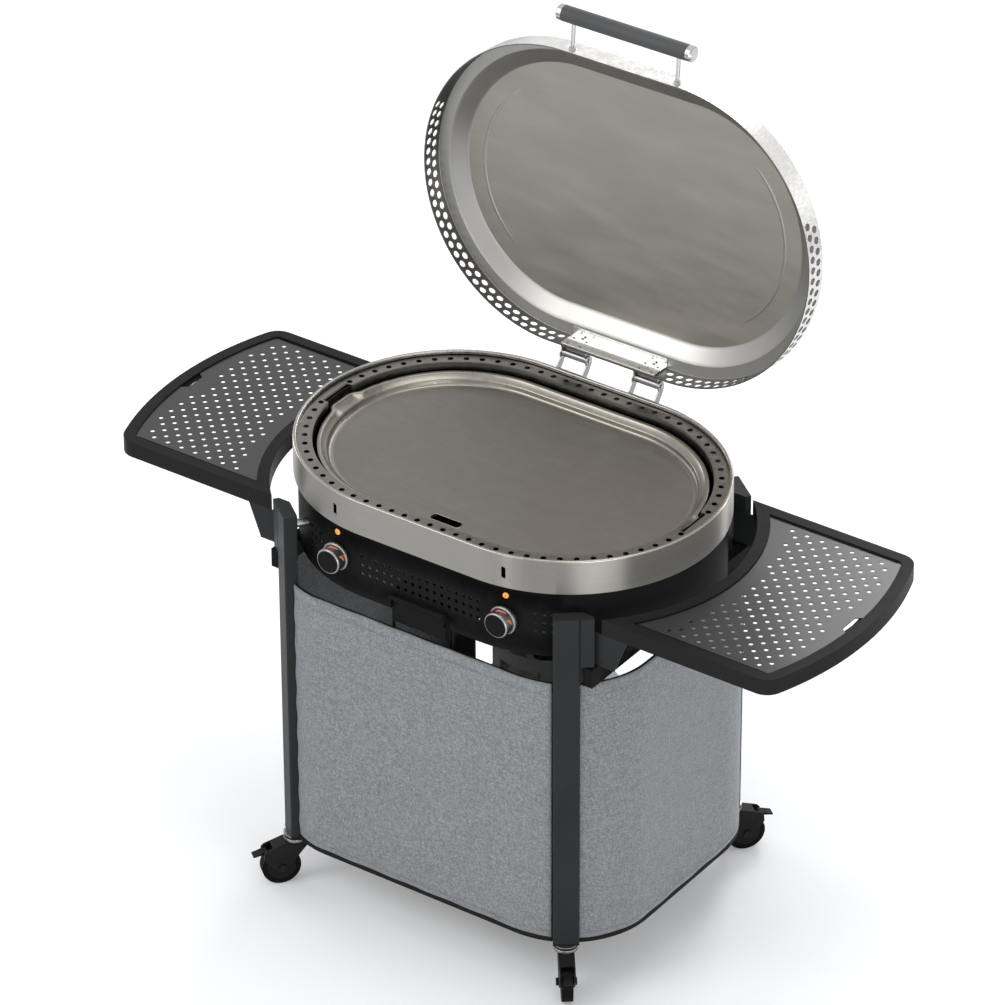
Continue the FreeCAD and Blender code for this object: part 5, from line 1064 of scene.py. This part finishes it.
# Name, place, aim, width and height, watts.
LAMPS = (
    ("right", (3.56, -2.59, 0.95), HEAD_AIM, (2.4, 1.6), 52),
    ("left", (-4.33, 0.76, 0.95), HEAD_AIM, (1.1, 1.8), 36),
    ("front", (-0.15, -4.4, 0.95), HEAD_AIM, (0.5, 1.6), 10),
    ("rear_right", (1.93, 3.95, 0.95), HEAD_AIM, (0.6, 1.8), 28),
    ("key", (-2.4, -3.6, 4.2), BODY_AIM, (2.4, 2.4), 75),
    ("back", (-0.55, 3.5, 3.1), (0.9, 0.1, 0.85), (1.5, 1.5), 55),
    ("top", (0.4, 0.6, 5.0), BODY_AIM, (3.0, 2.0), 50),
)


def camera():
    """A long lens at the place that was fitted to the photograph."""
    flat = math.cos(CAMERA_ABOVE)
    back = Vector((math.sin(CAMERA_AZIMUTH) * flat, -math.cos(CAMERA_AZIMUTH) * flat, math.sin(CAMERA_ABOVE)))
    level = (-back).cross(Vector((0, 0, 1))).normalized()
    upright = level.cross(-back)
    right = math.cos(CAMERA_ROLL) * level + math.sin(CAMERA_ROLL) * upright
    up = -math.sin(CAMERA_ROLL) * level + math.cos(CAMERA_ROLL) * upright
    lens = bpy.data.cameras.new("camera")
    lens.lens, lens.sensor_width = CAMERA_LENS, SENSOR
    lens.clip_start, lens.clip_end = 0.1, 60
    made = added("camera", lens)
    place = Vector((0, 0, RIM_TOP)) + back * CAMERA_DISTANCE + right * CAMERA_SIDE + up * CAMERA_RISE
    turn = Matrix((right, up, back)).transposed()
    made.matrix_world = Matrix.Translation(place + MIDDLE) @ turn.to_4x4()
    bpy.context.scene.camera = made


def floor():
    """A wide pale floor that reads as white to the camera and keeps the object's shadow."""
    far = FLOOR_SIZE
    mesh = bpy.data.meshes.new("floor")
    mesh.from_pydata([(-far, -far, 0), (far, -far, 0), (far, far, 0), (-far, far, 0)], [], [(0, 1, 2, 3)])
    made = added("floor", mesh)
    paint = Paint("floor_white", (0.93,) * 3, 0.9, Specular_IOR_Level=0.1)
    paint.colour(paint.ramp(paint.noise(3, 2), [(0.3, (0.925,) * 3), (0.7, (0.945,) * 3)]))
    path = paint.add("ShaderNodeLightPath").outputs["Is Camera Ray"]
    paint.shader.inputs["Emission Color"].default_value = (1, 1, 1, 1)
    paint.wire(paint.span(path, 0.0, FLOOR_GLOW), paint.shader.inputs["Emission Strength"])
    made.data.materials.append(paint.material)


def lamp(name, place, aim, size, power):
    light = bpy.data.lights.new(name, "AREA")
    light.shape, light.size, light.size_y = "RECTANGLE", size[0], size[1]
    light.energy = power
    made = added(name, light)
    made.location = place
    made.rotation_euler = (Vector(aim) - Vector(place)).to_track_quat("-Z", "Y").to_euler()


def lights():
    """Soft lamps round the head and above, and a surround that camera and glossy rays see as white."""
    for numbers in LAMPS:
        lamp(*numbers)
    world = bpy.data.worlds.new("world")
    bpy.context.scene.world = world
    world.use_nodes = True
    nodes, links = world.node_tree.nodes, world.node_tree.links
    surround, white = nodes["Background"], nodes.new("ShaderNodeBackground")
    chosen = nodes.new("ShaderNodeMixShader")
    surround.inputs["Color"].default_value = (0.94, 0.96, 1.0, 1)
    surround.inputs["Strength"].default_value = SURROUND
    white.inputs["Color"].default_value = (1, 1, 1, 1)
    white.inputs["Strength"].default_value = 1.0
    path = nodes.new("ShaderNodeLightPath")
    seen = nodes.new("ShaderNodeMath")
    seen.operation = "MAXIMUM"
    links.new(path.outputs["Is Camera Ray"], seen.inputs[0])
    links.new(path.outputs["Is Glossy Ray"], seen.inputs[1])
    links.new(seen.outputs["Value"], chosen.inputs["Fac"])
    links.new(surround.outputs["Background"], chosen.inputs[1])
    links.new(white.outputs["Background"], chosen.inputs[2])
    links.new(chosen.outputs["Shader"], nodes["World Output"].inputs["Surface"])
    bpy.context.scene.view_settings.view_transform = "Standard"


dress_nodes()
camera()
shelf_plates()
control_skirt()
fabric()
for dial_side, dial_sign in (("right", 1), ("left", -1)):
    knob_dial(dial_side, dial_sign)
indicator_lights()
lid_skin()
band_skin()
vent_ring_skin()
plate_skin()
leaf_plates()
lid_details()
caster_details()
floor()
lights()
